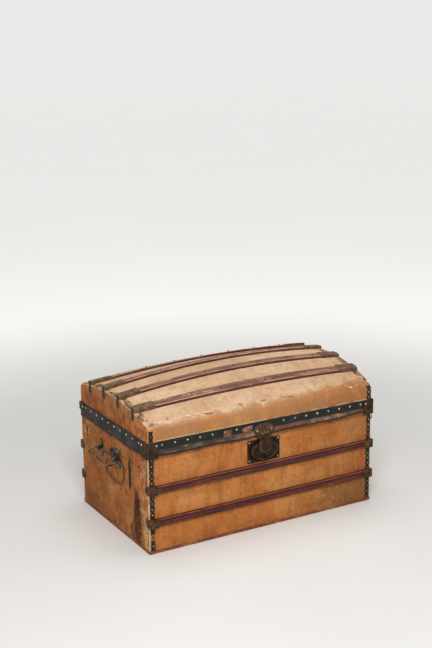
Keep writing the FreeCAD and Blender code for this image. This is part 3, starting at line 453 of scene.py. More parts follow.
    def mark_body(self, p: Painter) -> None:
        """Stains, grime and painted shade that belong to places on the carcass.

        Args:
            p: The finish being painted.
        """
        axes = p.split()
        x, y, z = axes
        off_middle = p.maths("ABSOLUTE", x)
        left = p.ramp(x, -0.372, -0.3745)
        left_x, right_x, front_y = -HALF_WIDTH, HALF_WIDTH, -HALF_DEPTH

        # Painted shade under the band; darker towards the foot; painted shade low on the left end and on the
        # right part; darker towards both ends, in patches.
        wavy = p.maths("ADD", z, p.times(p.clouds(11.0, 3, 0.3, 0.7, (1, 1, 0)), 0.005))
        under = p.times(p.ramp(wavy, 0.2725, 0.2775), p.ramp(z, 0.2900, 0.2860))
        p.layer(p.times(under, p.ramp(y, 0.2203, 0.2190)), srgb(66, 36, 22), 0.55)
        p.blot(p.ramp(z, 0.055, 0.0, 0.0, 0.75), self.grime, 0.9, 20.0, 6, 0.35, 0.6, rough=0.7)
        # painted shade low on the left end, near the floor
        low_left_shade = p.times(left, p.ramp(z, 0.150, 0.020))
        p.blot(low_left_shade, srgb(104, 62, 40), 0.62, 13.0, 6, 0.34, 0.58, shift=(4, 4, 8), rough=0.7)
        # painted shade that darkens the right part
        p.layer(p.ramp(x, 0.02, 0.372, 0.0, 0.30), self.grime)
        p.blot(p.ramp(off_middle, 0.335, 0.372, 0.0, 0.8), self.grime, 0.8, 28.0, 6, 0.4, 0.62, rough=0.7)

        # The left end: its own tone, worn and pale patches, and the bare panel by the front corner.
        p.layer(left, srgb(176, 108, 58), 0.5)
        p.blot(left, self.grime, 0.42, 17.0, 7, 0.48, 0.60, shift=(6, 6, 1), rough=0.7)
        p.blot(left, self.pale_and_highlight, 0.42, 12.0, 6, 0.52, 0.64, shift=(1, 2, 9), rough=0.65)
        panel = p.times(left, p.ramp(z, 0.160, 0.180), p.ramp(y, -0.124, -0.132))
        p.layer(panel, srgb(210, 126, 76), 0.72)
        p.blot(panel, srgb(146, 68, 42), 0.7, 70.0, 5, 0.44, 0.56, (1, 1, 0.12), shift=(2, 6, 3), rough=0.6)
        slits = self.zone(p, axes, (left_x, 0.178, 0.240), (THROUGH, 0.0030, 0.026), 0.2)
        p.layer(p.times(left, slits), srgb(40, 24, 18), 0.9)

        # Stains and rubbed spots: middle, reach, raggedness, flow, tone and amount.
        for place, size, ragged, flow, tone, amount in (
                ((left_x, -0.152, 0.105), (THROUGH, 0.026, 0.096), 0.5, 0.30, srgb(52, 18, 10), 0.95),
                ((left_x, -0.154, 0.100), (THROUGH, 0.017, 0.070), 0.6, 1.0, srgb(34, 14, 9), 0.8),
                ((left_x, -0.143, 0.045), (THROUGH, 0.036, 0.045), 0.6, 0.45, srgb(76, 36, 22), 0.8),
                ((left_x, -0.120, 0.215), (THROUGH, 0.013, 0.070), 0.6, 1.0, srgb(104, 58, 36), 0.7),
                ((left_x, 0.150, 0.030), (THROUGH, 0.060, 0.030), 0.35, 1.0, srgb(96, 58, 38), 0.5),
                ((right_x, 0.120, 0.060), (THROUGH, 0.070, 0.080), 0.45, 0.40, srgb(96, 56, 34), 0.45),
                ((right_x, -0.020, 0.160), (THROUGH, 0.110, 0.060), 0.40, 1.0, srgb(206, 144, 92), 0.35),
                ((0.300, front_y, 0.060), (0.11, THROUGH, 0.055), 0.35, 1.0, srgb(96, 66, 38), 0.4)):
            p.layer(self.zone(p, axes, place, size, ragged, flow), tone, amount)
        pale_foot = self.zone(p, axes, (left_x, -0.206, 0.034), (THROUGH, 0.017, 0.050), 0.7)
        p.layer(p.times(left, pale_foot), srgb(226, 178, 122), 0.7)

        # The tear with its pale lip, and old nail holes.
        lip = self.zone(p, axes, (left_x, -0.120, 0.206), (THROUGH, 0.0060, 0.054), 0.5)
        tear = self.zone(p, axes, (left_x, -0.107, 0.204), (THROUGH, 0.0098, 0.050), 0.42)
        p.layer(lip, srgb(206, 158, 112), 0.5)
        p.layer(tear, srgb(26, 15, 11), 0.98)
        p.raise_by(tear, -0.0012)
        p.raise_by(lip, 0.0006)
        holes = self.spots(p, axes, ((0.110, 0.109), (0.115, 0.053), (0.090, 0.136), (-0.104, 0.105),
                                     (-0.102, 0.074), (0.196, 0.120)), 0.0032)
        p.layer(p.times(left, holes), srgb(38, 24, 18), 0.9)

        # Pale chipped front corners, a green tinge low on the front, and specks on both ends.
        corner = p.times(p.ramp(off_middle, 0.3715, 0.3735), p.ramp(y, -0.2165, -0.2190))
        p.blot(corner, srgb(236, 204, 160), 0.85, 48.0, 6, 0.40, 0.52, rough=0.7)
        green = self.zone(p, axes, (0.25, front_y, 0.03), (0.16, THROUGH, 0.05), 0.5)
        p.layer(green, srgb(108, 80, 46), 0.32)
        rubbed = p.times(left, p.ramp(y, -0.14, -0.19))
        p.blot(rubbed, srgb(222, 184, 140), 0.7, 40.0, 7, 0.5, 0.6, shift=(1, 9, 3), rough=0.75)
        p.blot(p.ramp(off_middle, 0.372, 0.3745), self.stain, 0.8, 52.0, 6, 0.585, 0.63,
               shift=(8, 3, 3), rough=0.7)

    def mark_dome(self, p: Painter) -> None:
        """A deeper tone below the lid's shoulder and a line of knocks along it.

        Args:
            p: The finish being painted.
        """
        x, y, z = p.split()
        off_middle = p.maths("ABSOLUTE", x)

        # The deeper tone climbs a little to the right, and its upper edge is uneven.
        uneven = p.times(p.clouds(16.0, 6, 0.3, 0.7, (1, 1, 0.3), shift=(7, 1, 1), rough=0.7), 0.009)
        climb = p.ramp(x, -0.30, 0.36, 0.0, -0.0125)
        level = p.maths("ADD", p.maths("ADD", z, uneven), climb)
        below = p.ramp(level, 0.3770, 0.3570)
        p.layer(below, srgb(184, 120, 62), 0.85)
        # painted shade: the tone below the shoulder darkens further towards the right
        p.layer(p.times(below, p.ramp(x, 0.0, 0.36)), srgb(156, 94, 48), 0.6)
        p.blot(below, srgb(208, 148, 92), 0.45, 38.0, 7, 0.50, 0.62, shift=(2, 6, 6), rough=0.72)
        p.blot(below, self.grime, 0.45, 30.0, 6, 0.42, 0.6, stretch=(1, 1, 0.3), rough=0.7)

        # Rubbed streaks, dark knocks and pale chips along the front shoulder, and the pale hem.
        front = p.ramp(y, -0.185, -0.205)
        rubbed = p.times(p.ramp(level, 0.3690, 0.3730), p.ramp(level, 0.3840, 0.3780))
        p.blot(p.times(front, rubbed), self.pale_and_highlight, 0.35, 60.0, 6, 0.40, 0.56, (0.3, 1, 1),
               shift=(4, 8, 1), rough=0.7)
        line = p.times(p.ramp(z, 0.3640, 0.3680), p.ramp(z, 0.3810, 0.3750))
        shoulder = p.times(front, line)
        p.blot(shoulder, srgb(84, 46, 28), 0.92, 52.0, 7, 0.565, 0.60, stretch=(0.45, 1, 2.0),
               shift=(2, 2, 9), rough=0.75)
        p.blot(shoulder, srgb(250, 234, 206), 0.85, 74.0, 5, 0.63, 0.66, stretch=(0.7, 1, 1.2),
               shift=(8, 4, 3), rough=0.7)
        p.blot(p.ramp(z, 0.3268, 0.3255), srgb(232, 196, 150), 0.7, 30.0, 5, 0.34, 0.48)

        # The lid's ends: their own tone, lighter towards the front, mottled.
        end = p.ramp(off_middle, 0.3735, 0.3748)
        p.layer(end, srgb(176, 102, 52), 0.80)
        p.layer(p.times(end, p.ramp(y, -0.06, -0.20)), srgb(222, 142, 82), 0.62)
        p.blot(end, srgb(116, 62, 34), 0.62, 24.0, 7, 0.46, 0.56, shift=(3, 9, 2), rough=0.72)
        p.blot(end, srgb(206, 142, 84), 0.6, 90.0, 6, 0.50, 0.64, (1, 1, 0.16), shift=(1, 2, 5), rough=0.7)
        p.blot(end, self.stain, 0.55, 40.0, 8, 0.525, 0.58, (1, 1, 0.6), shift=(7, 2, 8), rough=0.78)

        # Torn pale canvas just under the arched end arrises.
        from_crown = p.maths("SUBTRACT", y, 0.020)
        arris = p.maths("SUBTRACT", 0.4028, p.times(from_crown, from_crown, 0.56))
        depth = p.maths("SUBTRACT", arris, z)
        frayed = p.times(p.ramp(depth, 0.0075, 0.0025), p.clouds(50.0, 6, 0.40, 0.52, rough=0.7))
        p.layer(p.times(p.ramp(off_middle, 0.370, 0.3735), frayed), srgb(240, 208, 164), 0.85)

    def make(self) -> bpy.types.Material:
        """Build the material.

        Returns:
            The material.
        """
        p = self.weathered()
        if self.body_marks:
            self.mark_body(p)
            self.weave(p)
        else:
            self.weave(p)
            self.mark_dome(p)
        return p.done(1.0)


@dataclass(frozen=True)
class Leather:
    """Dry cracked leather with streaks where the surface has gone, and perhaps a dark lower hem that is
    painted shadow under the free edge.
    """

    name: str
    ground: Colour
    worn: Colour
    dark: Colour
    wear: float = 0.5
    stretch: Point = (1, 1, 0.25)
    shadow_hem: bool = False
    blush: Colour = srgb(134, 70, 54)
    dark_left: bool = False

    def make(self) -> bpy.types.Material:
        """Build the material.

        Returns:
            The material.
        """
        p = Painter(self.name, self.ground, rough=0.68)
        p.layer(p.clouds(26.0, 6, 0.62 - 0.2 * self.wear, 0.78 - 0.2 * self.wear, self.stretch, rough=0.7),
                self.worn, 0.85)
        p.layer(p.clouds(44.0, 6, 0.5, 0.66, shift=(3, 4, 5), rough=0.7), self.dark, 0.7)
        crease = p.clouds(120.0, 6, 0.47, 0.53, (0.4, 0.4, 1.6), shift=(6, 2, 8), rough=0.8, bend=0.6)
        p.layer(crease, self.dark, 0.45)
        p.raise_by(crease, -0.00025)
        p.raise_by(p.clouds(60.0, 5, 0.2, 0.8, rough=0.65), 0.0006)
        p.glaze(p.clouds(18.0, 4, 0.45, 0.6), 0.5)
        if self.shadow_hem:
            down = p.split(p.node("ShaderNodeTexCoord").outputs["UV"])[1]
            p.layer(p.clouds(70.0, 5, 0.45, 0.6, (0.2, 0.2, 1), shift=(8, 8, 1), rough=0.6),
                    self.blush, 0.5)
            if self.dark_left:
                left = p.ramp(p.split()[0], -0.02, -0.15)
                p.layer(left, srgb(46, 38, 32), 0.85)
                frayed = p.clouds(76.0, 8, 0.50, 0.58, (0.32, 1, 1.5), shift=(3, 5, 7), rough=0.8)
                p.layer(p.times(left, frayed), srgb(134, 122, 102), 0.66)
            # painted shadow: the lowest part of the skirt is darkened as the shadow line under its free edge
            p.layer(p.ramp(down, 0.84, 0.94), srgb(22, 14, 11), 0.9)
        return p.done(0.9)


class Run(Enum):
    """What a bar's section is measured against: its height, its place front to back, or nothing."""

    NONE = "none"
    LEVEL = "level"
    DOME = "dome"


@dataclass(frozen=True)
class Wood:
    """Old stained wood with grain along the trunk, pale arrises that are rubbed wear and painted highlight,
    and painted shade in the slats' grooves.
    """

    name: str
    ground: Colour
    light: Colour
    dark: Colour
    along: Point = (0.06, 1, 1)
    wear: float = 0.4
    run: Run = Run.NONE
    middles: tuple = ()
    half: float = 0.011
    groove: float = 0.005

    def arrises(self, p: Painter) -> None:
        """Lighten the long edges as rubbed wear and painted highlight, the upper edge of a level bar most;
        paint shade in a level bar's groove, and darken the sides below a domed bar's edges.

        Args:
            p: The finish being painted.
        """
        axis = p.split()[2 if self.run is Run.LEVEL else 1]
        rub_and_highlight = p.clouds(42.0, 6, 0.34, 0.56, (0.5, 1, 1), shift=(1, 7, 3), rough=0.75)
        for middle in self.middles:
            away = p.maths("SUBTRACT", axis, middle)
            size = p.maths("ABSOLUTE", away)
            edge = p.times(p.ramp(size, self.half - 0.0026, self.half - 0.0014),
                           p.ramp(size, self.half - 0.0001, self.half - 0.0004))
            if self.run is Run.LEVEL:
                # painted highlight over the rubbed wear, strongest on the upper edge
                upper = p.times(edge, p.ramp(away, -0.002, 0.002, 0.35, 1.0))
                p.layer(p.times(upper, rub_and_highlight), self.light, 0.7)
                # painted shade in the groove
                low = p.ramp(p.maths("ABSOLUTE", p.maths("SUBTRACT", away, self.groove)), 0.0022, 0.0008)
                p.layer(low, self.dark, 0.9)
            else:
                side = p.times(p.ramp(size, self.half - 0.0003, self.half),
                               p.ramp(size, self.half + 0.004, self.half + 0.003))
                p.layer(p.times(edge, rub_and_highlight), self.light, 0.8)
                p.layer(side, self.dark, 0.85)

    def make(self) -> bpy.types.Material:
        """Build the material.

        Returns:
            The material.
        """
        p = Painter(self.name, self.ground, rough=0.5)
        p.layer(p.clouds(170.0, 5, 0.42, 0.62, self.along, rough=0.65), self.dark, 0.75)
        p.layer(p.clouds(60.0, 6, 0.5, 0.68, self.along, shift=(2, 3, 1), rough=0.7), self.light, 0.5)
        p.layer(p.clouds(9.0, 5, 0.46, 0.64, shift=(5, 1, 2)), self.dark, 0.45)
        worn = p.clouds(34.0, 6, 0.66 - 0.16 * self.wear, 0.74 - 0.12 * self.wear,
                        (0.4, 1, 1), shift=(8, 2, 2), rough=0.75)
        p.layer(worn, self.light, 0.7)
        if self.run is not Run.NONE:
            self.arrises(p)
        p.raise_by(p.clouds(230.0, 4, 0.3, 0.7, self.along, rough=0.6), 0.00022)
        p.raise_by(p.clouds(30.0, 4, 0.2, 0.8), 0.0006)
        p.glaze(worn, 0.7)
        return p.done(0.9)


@dataclass(frozen=True)
class Paper:
    """Old lining paper: a faint laid texture, foxing, damp rings, and darker in the corners and towards the
    bottom.
    """

    name: str = "lining"
    ground: Colour = srgb(206, 190, 158)
    aged: Colour = srgb(176, 150, 112)
    fox: Colour = srgb(132, 92, 58)

    def make(self) -> bpy.types.Material:
        """Build the material.

        Returns:
            The material.
        """
        p = Painter(self.name, self.ground, rough=0.82, specular=0.2)
        p.layer(p.clouds(5.0, 6, 0.42, 0.66, rough=0.62), self.aged, 0.7)
        p.layer(p.clouds(9.0, 8, 0.56, 0.66, shift=(2, 7, 1), rough=0.7, bend=0.4), self.fox, 0.28)
        tide = p.times(p.clouds(2.6, 4, 0.50, 0.525, shift=(5, 2, 9)),
                       p.clouds(2.6, 4, 0.555, 0.53, shift=(5, 2, 9)))
        p.blot(tide, self.fox, 0.18, 4.0, 3, 0.45, 0.6, shift=(9, 1, 1))
        p.layer(p.clouds(90.0, 5, 0.52, 0.68, shift=(1, 4, 6), rough=0.65), self.aged, 0.4)
        p.layer(p.flecks(75, 0.16, shift=(3, 3, 1)), self.fox, 0.55)
        x, y, z = p.split()
        # darker in the corners and towards the bottom
        corner = p.times(p.ramp(p.maths("ABSOLUTE", x), 0.330, 0.365),
                         p.ramp(p.maths("ABSOLUTE", y), 0.170, 0.211))
        p.layer(p.maths("MAXIMUM", corner, p.ramp(z, 0.045, 0.010, 0.0, 0.6)), self.fox, 0.5)
        p.raise_by(p.threads(0.0012, (0, 0.7071, 0.7071)), 0.00003)
        p.raise_by(p.clouds(12.0, 5, 0.2, 0.8, rough=0.6), 0.0012)
        return p.done(0.8)


@dataclass(frozen=True)
class Binding:
    """Canvas edging with scraps of dark painted cloth left on it."""

    name: str = "binding"

    def make(self) -> bpy.types.Material:
        """Build the material.

        Returns:
            The material.
        """
        p = Painter(self.name, srgb(212, 168, 122), rough=0.8)
        p.layer(p.clouds(40.0, 5, 0.45, 0.65), srgb(166, 118, 78), 0.6)
        scrap = p.clouds(26.0, 8, 0.47, 0.51, (1.6, 0.7, 1), shift=(4, 4, 4), rough=0.78)
        p.layer(scrap, srgb(58, 50, 40), 0.94)
        p.blot(scrap, srgb(132, 116, 88), 0.8, 110.0, 5, 0.5, 0.6, shift=(6, 1, 2), rough=0.7)
        p.raise_by(scrap, 0.0005)
        p.raise_by(p.clouds(120.0, 4, 0.3, 0.7), 0.0003)
        return p.done(1.0)


@dataclass(frozen=True)
class Iron:
    """Tarnished sheet iron: blotches, rust bloom, dents and dull rubbed metal."""

    name: str
    ground: Colour
    bright: Colour
    rust: Colour
    metallic: float = 0.55
    rough: float = 0.46
    scale: float = 1.0
    dark_ends: bool = False
    specular: float = 0.22

    def make(self) -> bpy.types.Material:
        """Build the material.

        Returns:
            The material.
        """
        p = Painter(self.name, self.ground, self.metallic, self.rough, self.specular)
        blotch = p.clouds(60.0 * self.scale, 6, 0.44, 0.62, rough=0.7)
        p.layer(blotch, self.bright, 0.55)
        bloom = p.clouds(95.0 * self.scale, 7, 0.52, 0.66, shift=(3, 2, 7), rough=0.75)
        p.layer(bloom, self.rust, 0.65)
        p.layer(p.flecks(420 * self.scale, 0.2, shift=(1, 4, 2)), self.rust, 0.5)
        if self.dark_ends:
            p.layer(p.ramp(p.maths("ABSOLUTE", p.split()[0]), 0.3735, 0.3755), srgb(34, 28, 22), 0.9)
        p.raise_by(p.clouds(45.0 * self.scale, 3, 0.2, 0.8), 0.0005)
        p.raise_by(p.clouds(320.0 * self.scale, 4, 0.3, 0.7), 0.00014)
        p.glaze(bloom, 0.8)
        return p.done(0.85)


# ---------------------------------------------------------------- mesh tools

def shown(name: str, bm: bmesh.types.BMesh, material: bpy.types.Material, body: str,
          smooth: float = 40.0) -> bpy.types.Object:
    """Turn a bmesh into a piece that rides a body.

    Args:
        name: The piece's name.
        bm: The shape; it is freed here.
        material: Its finish.
        body: The body that carries it.
        smooth: Faces meeting at less than this many degrees are shaded as one.

    Returns:
        The new object.
    """
    mesh = bpy.data.meshes.new(name)
    bmesh.ops.recalc_face_normals(bm, faces=bm.faces)
    for face in bm.faces:
        face.smooth = smooth > 0
    limit = math.radians(smooth)
    for edge in bm.edges:
        if len(edge.link_faces) == 2:
            edge.smooth = edge.calc_face_angle(0.0) < limit
    bm.to_mesh(mesh)
    bm.free()
    mesh.materials.append(material)
    item = bpy.data.objects.new(name, mesh)
    bpy.context.scene.collection.objects.link(item)
    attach(item, body)
    LOG.info("made %s: %d faces on %s", name, len(mesh.polygons), body)
    return item


def merged_copy(node: str) -> bmesh.types.BMesh:
    """A copy of a node's mesh with the loose triangles welded.

    Args:
        node: The node's name.

    Returns:
        The copy as a bmesh.
    """
    bm = bmesh.new()
    bm.from_mesh(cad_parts[node].data)
    bmesh.ops.remove_doubles(bm, verts=bm.verts, dist=1e-6)
    return bm


def wobble(verts: list, size: float, scale: float, seed: float) -> None:
    """Shift vertices by smooth noise, so that a worked surface isn't perfectly true.

    Args:
        verts: The vertices to move.
        size: The most that a point moves, in metres.
        scale: Waves to a metre.
        seed: Offset of the noise.
    """
    for vert in verts:
        vert.co += noise.noise_vector(vert.co * scale + Vector((seed, seed * 2, seed * 3))) * size


def facing(normal: Vector) -> Matrix:
    """A turn that carries +Z on to the given direction."""
    return normal.to_track_quat("Z", "Y").to_matrix().to_4x4()


def face_out(bm: bmesh.types.BMesh, faces: list, out: Vector) -> None:
    """Make all faces of an open sheet point one way.

    Args:
        bm: The shape.
        faces: The sheet's faces.
        out: The way that they have to point.
    """
    bmesh.ops.recalc_face_normals(bm, faces=faces)
    if faces[0].normal.dot(out) < 0:
        bmesh.ops.reverse_faces(bm, faces=faces)


def thicken(bm: bmesh.types.BMesh, faces: list, move: Point) -> None:
    """Extrude flat faces.

    Args:
        bm: The shape.
        faces: The faces.
        move: How far and which way they are raised.
    """
    raised = bmesh.ops.extrude_face_region(bm, geom=faces)["geom"]
    top = [v for v in raised if isinstance(v, bmesh.types.BMVert)]
    bmesh.ops.translate(bm, verts=top, vec=move)


def domed_head(bm: bmesh.types.BMesh, radius: float, height: float, place: Matrix,
               segments: int = 12, rings: int = 8) -> list:
    """Add one domed head, pressed flat underneath.

    Args:
        bm: The shape that it is added to.
        radius: The head's radius.
        height: How far it stands up.
        place: Its seat, with +Z outwards.
        segments: Faces round the sphere that it is pressed from.
        rings: Rings of that sphere.

    Returns:
        The head's vertices.
    """
    made = bmesh.ops.create_uvsphere(bm, u_segments=segments, v_segments=rings, radius=1.0)["verts"]
    for vert in made:
        vert.co = Vector((vert.co.x * radius, vert.co.y * radius, max(vert.co.z, 0.0) * height))
    bmesh.ops.transform(bm, matrix=place, verts=made)
    return made


def background_rays(tree: bpy.types.NodeTree) -> Socket:
    """Find the rays that see the background: camera, glossy and transmission rays.

    Args:
        tree: The node tree of the floor or of the world.

    Returns:
        A mask that is 1 for those rays.
    """
    path = tree.nodes.new("ShaderNodeLightPath")
    seen = path.outputs[RAYS[0]]
    for ray in RAYS[1:]:
        either = tree.nodes.new("ShaderNodeMath")
        either.operation = "MAXIMUM"
        tree.links.new(seen, either.inputs[0])
        tree.links.new(path.outputs[ray], either.inputs[1])
        seen = either.outputs[0]
    return seen


# ---------------------------------------------------------------- cord on the left end

@dataclass
class Thong:
    """A leather thong that hangs in a loop from two nails on the left end."""

    radius: float = 0.0015
    length: float = 0.2387
    x: float = -0.379
    route: tuple = ((0.043, 0.190), (0.043, 0.171), (0.030, 0.1565), (0.004, 0.1505), (-0.024, 0.148),
                    (-0.051, 0.150), (-0.071, 0.164), (-0.078, 0.187), (-0.0735, 0.210),
                    (-0.053, 0.232), (-0.053, 0.253))

    def build(self, material: bpy.types.Material) -> bpy.types.Object:
        """Args:
            material: Its finish.

        Returns:
            The curve object.
        """
        curve = bpy.data.curves.new("hanging_loop", "CURVE")
        curve.dimensions = "3D"
        spline = curve.splines.new("NURBS")
        spline.points.add(len(self.route) - 1)
        for point, (y, z) in zip(spline.points, self.route):
            point.co = (self.x, y, z, 1.0)
        spline.order_u = 3
        spline.use_endpoint_u = True
        curve.resolution_u = 12
        curve.bevel_depth = self.radius
        curve.bevel_resolution = 4
        curve.use_fill_caps = True
        curve.materials.append(material)
        item = bpy.data.objects.new("hanging_loop", curve)
        bpy.context.scene.collection.objects.link(item)
        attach(item, "trunk")
        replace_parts(item, "hanging_thong")
        y, z = self.route[0]
        return item


# ---------------------------------------------------------------- camera, floor and light

@dataclass
class Studio:
    """The camera, the pale floor and the soft lamps."""

    eye: Point = (-1.639, -2.792, 1.354)
    yaw: float = 29.93
    pitch: float = 13.83
    roll: float = -0.605
    lens: float = 62.84
    floor: Colour = srgb(232, 230, 226)
    backdrop: Colour = srgb(248, 248, 247)
    glow: float = 0.31
    backdrop_glow: float = 0.88
    aim: Point = (0, 0, 0.2)
    lamps: tuple = (("key", (-1.25, -2.2, 2.35), 1.1, 62),
                    ("fill", (2.6, -1.6, 1.8), 1.8, 9),
                    ("top", (0.1, 0.2, 2.9), 1.8, 24))

    def camera(self) -> None:
        """Put the camera at its place and make it the scene's own."""
        yaw, pitch, roll = (math.radians(a) for a in (self.yaw, self.pitch, self.roll))
        right = Vector((math.cos(yaw), -math.sin(yaw), 0))
        ahead = Vector((math.sin(yaw) * math.cos(pitch), math.cos(yaw) * math.cos(pitch), -math.sin(pitch)))
        up = right.cross(ahead)
        side = right * math.cos(roll) + up * math.sin(roll)
        top = up * math.cos(roll) - right * math.sin(roll)
        data = bpy.data.cameras.new("camera")
        data.sensor_width = 36.0
        data.lens = self.lens
        item = bpy.data.objects.new("camera", data)
        turn = Matrix((side, top, -ahead)).transposed().to_4x4()
        item.matrix_world = Matrix.Translation(self.eye) @ turn
        bpy.context.scene.collection.objects.link(item)
        bpy.context.scene.camera = item

    def floor_finish(self) -> bpy.types.Material:
        """A pale matt floor that keeps the shadow.

        Returns:
            The material.
        """
        p = Painter("floor", self.floor, rough=0.9)
        p.layer(p.clouds(1.3, 3, 0.3, 0.7), srgb(238, 236, 232), 0.6)
        x, y, _ = p.split()
        far = p.maths("SQRT", p.maths("ADD", p.times(x, x), p.times(y, y)))
        p.feed(p.shader.inputs["Emission Color"], self.backdrop)
        p.feed(p.shader.inputs["Emission Strength"],
               p.times(background_rays(p.tree), p.ramp(far, 0.8, 2.8, 0.0, 0.58)))
        p.glaze(p.ramp(far, 1.0, 2.0), 1.0)
        return p.done()

    def ground(self) -> None:
        """Lay the floor that the trunk stands on."""
        bm = bmesh.new()
        bmesh.ops.create_grid(bm, x_segments=4, y_segments=4, size=30.0)
        mesh = bpy.data.meshes.new("floor")
        bm.to_mesh(mesh)
        bm.free()
        mesh.materials.append(self.floor_finish())
        item = bpy.data.objects.new("floor", mesh)
        bpy.context.scene.collection.objects.link(item)

    def lamp(self, name: str, place: Point, size: float, watts: float) -> None:
        """Hang one soft square lamp that faces the trunk.

        Args:
            name: The lamp's name.
            place: Where it hangs.
            size: Its side in metres.
            watts: Its power.
        """
        data = bpy.data.lights.new(name, "AREA")
        data.size = size
        data.energy = watts
        item = bpy.data.objects.new(name, data)
        way = Vector(self.aim) - Vector(place)
        item.matrix_world = Matrix.Translation(place) @ way.to_track_quat("-Z", "Y").to_matrix().to_4x4()
        bpy.context.scene.collection.objects.link(item)

    def light(self) -> None:
        """Hang the lamps and set the pale surroundings."""
        for name, place, size, watts in self.lamps:
            self.lamp(name, place, size, watts)
        world = bpy.data.worlds.new("surroundings")
        bpy.context.scene.world = world
        world.use_nodes = True
        tree = world.node_tree
        sky = tree.nodes["Background"]
        strength = tree.nodes.new("ShaderNodeMapRange")
        tree.links.new(background_rays(tree), strength.inputs["Value"])
        strength.inputs["To Min"].default_value = self.glow
        strength.inputs["To Max"].default_value = self.backdrop_glow
        tree.links.new(strength.outputs["Result"], sky.inputs["Strength"])
        sky.inputs["Color"].default_value = (*self.backdrop, 1.0)

    def build(self) -> None:
        """Set the whole stage."""
        self.camera()
        self.ground()
        self.light()
        bpy.context.scene.view_settings.view_transform = "Standard"


# ---------------------------------------------------------------- finishes of the kept nodes

NODE_FINISH: dict[str, str] = {
    "bottom_board": "board", "front_board": "board", "back_board": "board", "left_end_board": "board",
    "right_end_board": "board", "body_canvas": "canvas", "body_lining": "lining", "bottom_edging": "edging",
    "front_upper_slat": "slat", "front_lower_slat": "slat", "back_upper_slat": "slat",
    "back_lower_slat": "slat", "body_slat_clamps": "clamp", "front_corner_strips": "strip",
    "back_corner_strips": "strip", "front_slat_nails": "nail", "back_slat_nails": "nail",
    "lock_plate": "lock", "lock_nails": "nail", "lock_case": "lock", "left_hinge_body_leaf": "hinge",
    "right_hinge_body_leaf": "hinge", "hinge_pins": "hinge", "left_front_handle_bracket": "bracket",
    "left_back_handle_bracket": "bracket", "right_front_handle_bracket": "bracket",
    "right_back_handle_bracket": "bracket", "handle_nails": "nail", "thong_nails": "nail",
    "lid_canvas": "dome_canvas", "lid_front_rail": "board", "lid_back_rail": "board", "dome_boards": "board",
    "lid_left_end": "board", "lid_right_end": "board", "lid_lining": "lining",
    "dome_front_outer_slat": "dome_slat", "dome_front_inner_slat": "dome_slat",
    "dome_back_inner_slat": "dome_slat", "dome_back_outer_slat": "dome_slat",
    "dome_slat_clamps": "dome_clamp", "dome_end_binding": "binding", "dome_slat_nails": "pale_nail",
    "lid_corner_strips": "strip", "lid_band": "band", "corner_caps": "cap", "band_nails": "bright_nail",
    "hasp_plate": "hasp", "hasp_pin": "lock", "hasp_rivets": "bright_nail", "left_hinge_lid_leaf": "hinge",
    "right_hinge_lid_leaf": "hinge", "hasp_tongue": "tongue", "left_bail": "wire", "right_bail": "wire",
}


@dataclass
class KeptParts:
    """The boards, canvas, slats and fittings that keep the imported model's own shape."""

    def dress(self, finishes: dict[str, bpy.types.Material]) -> None:
        """Give each kept node its finish.

        Args:
            finishes: The materials by name.
        """
        for name, key in NODE_FINISH.items():
            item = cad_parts[name]
            item.data.materials.clear()
            item.data.materials.append(finishes[key])
            for polygon in item.data.polygons:
                polygon.material_index = 0
            LOG.info("dressed %s with %s", name, key)


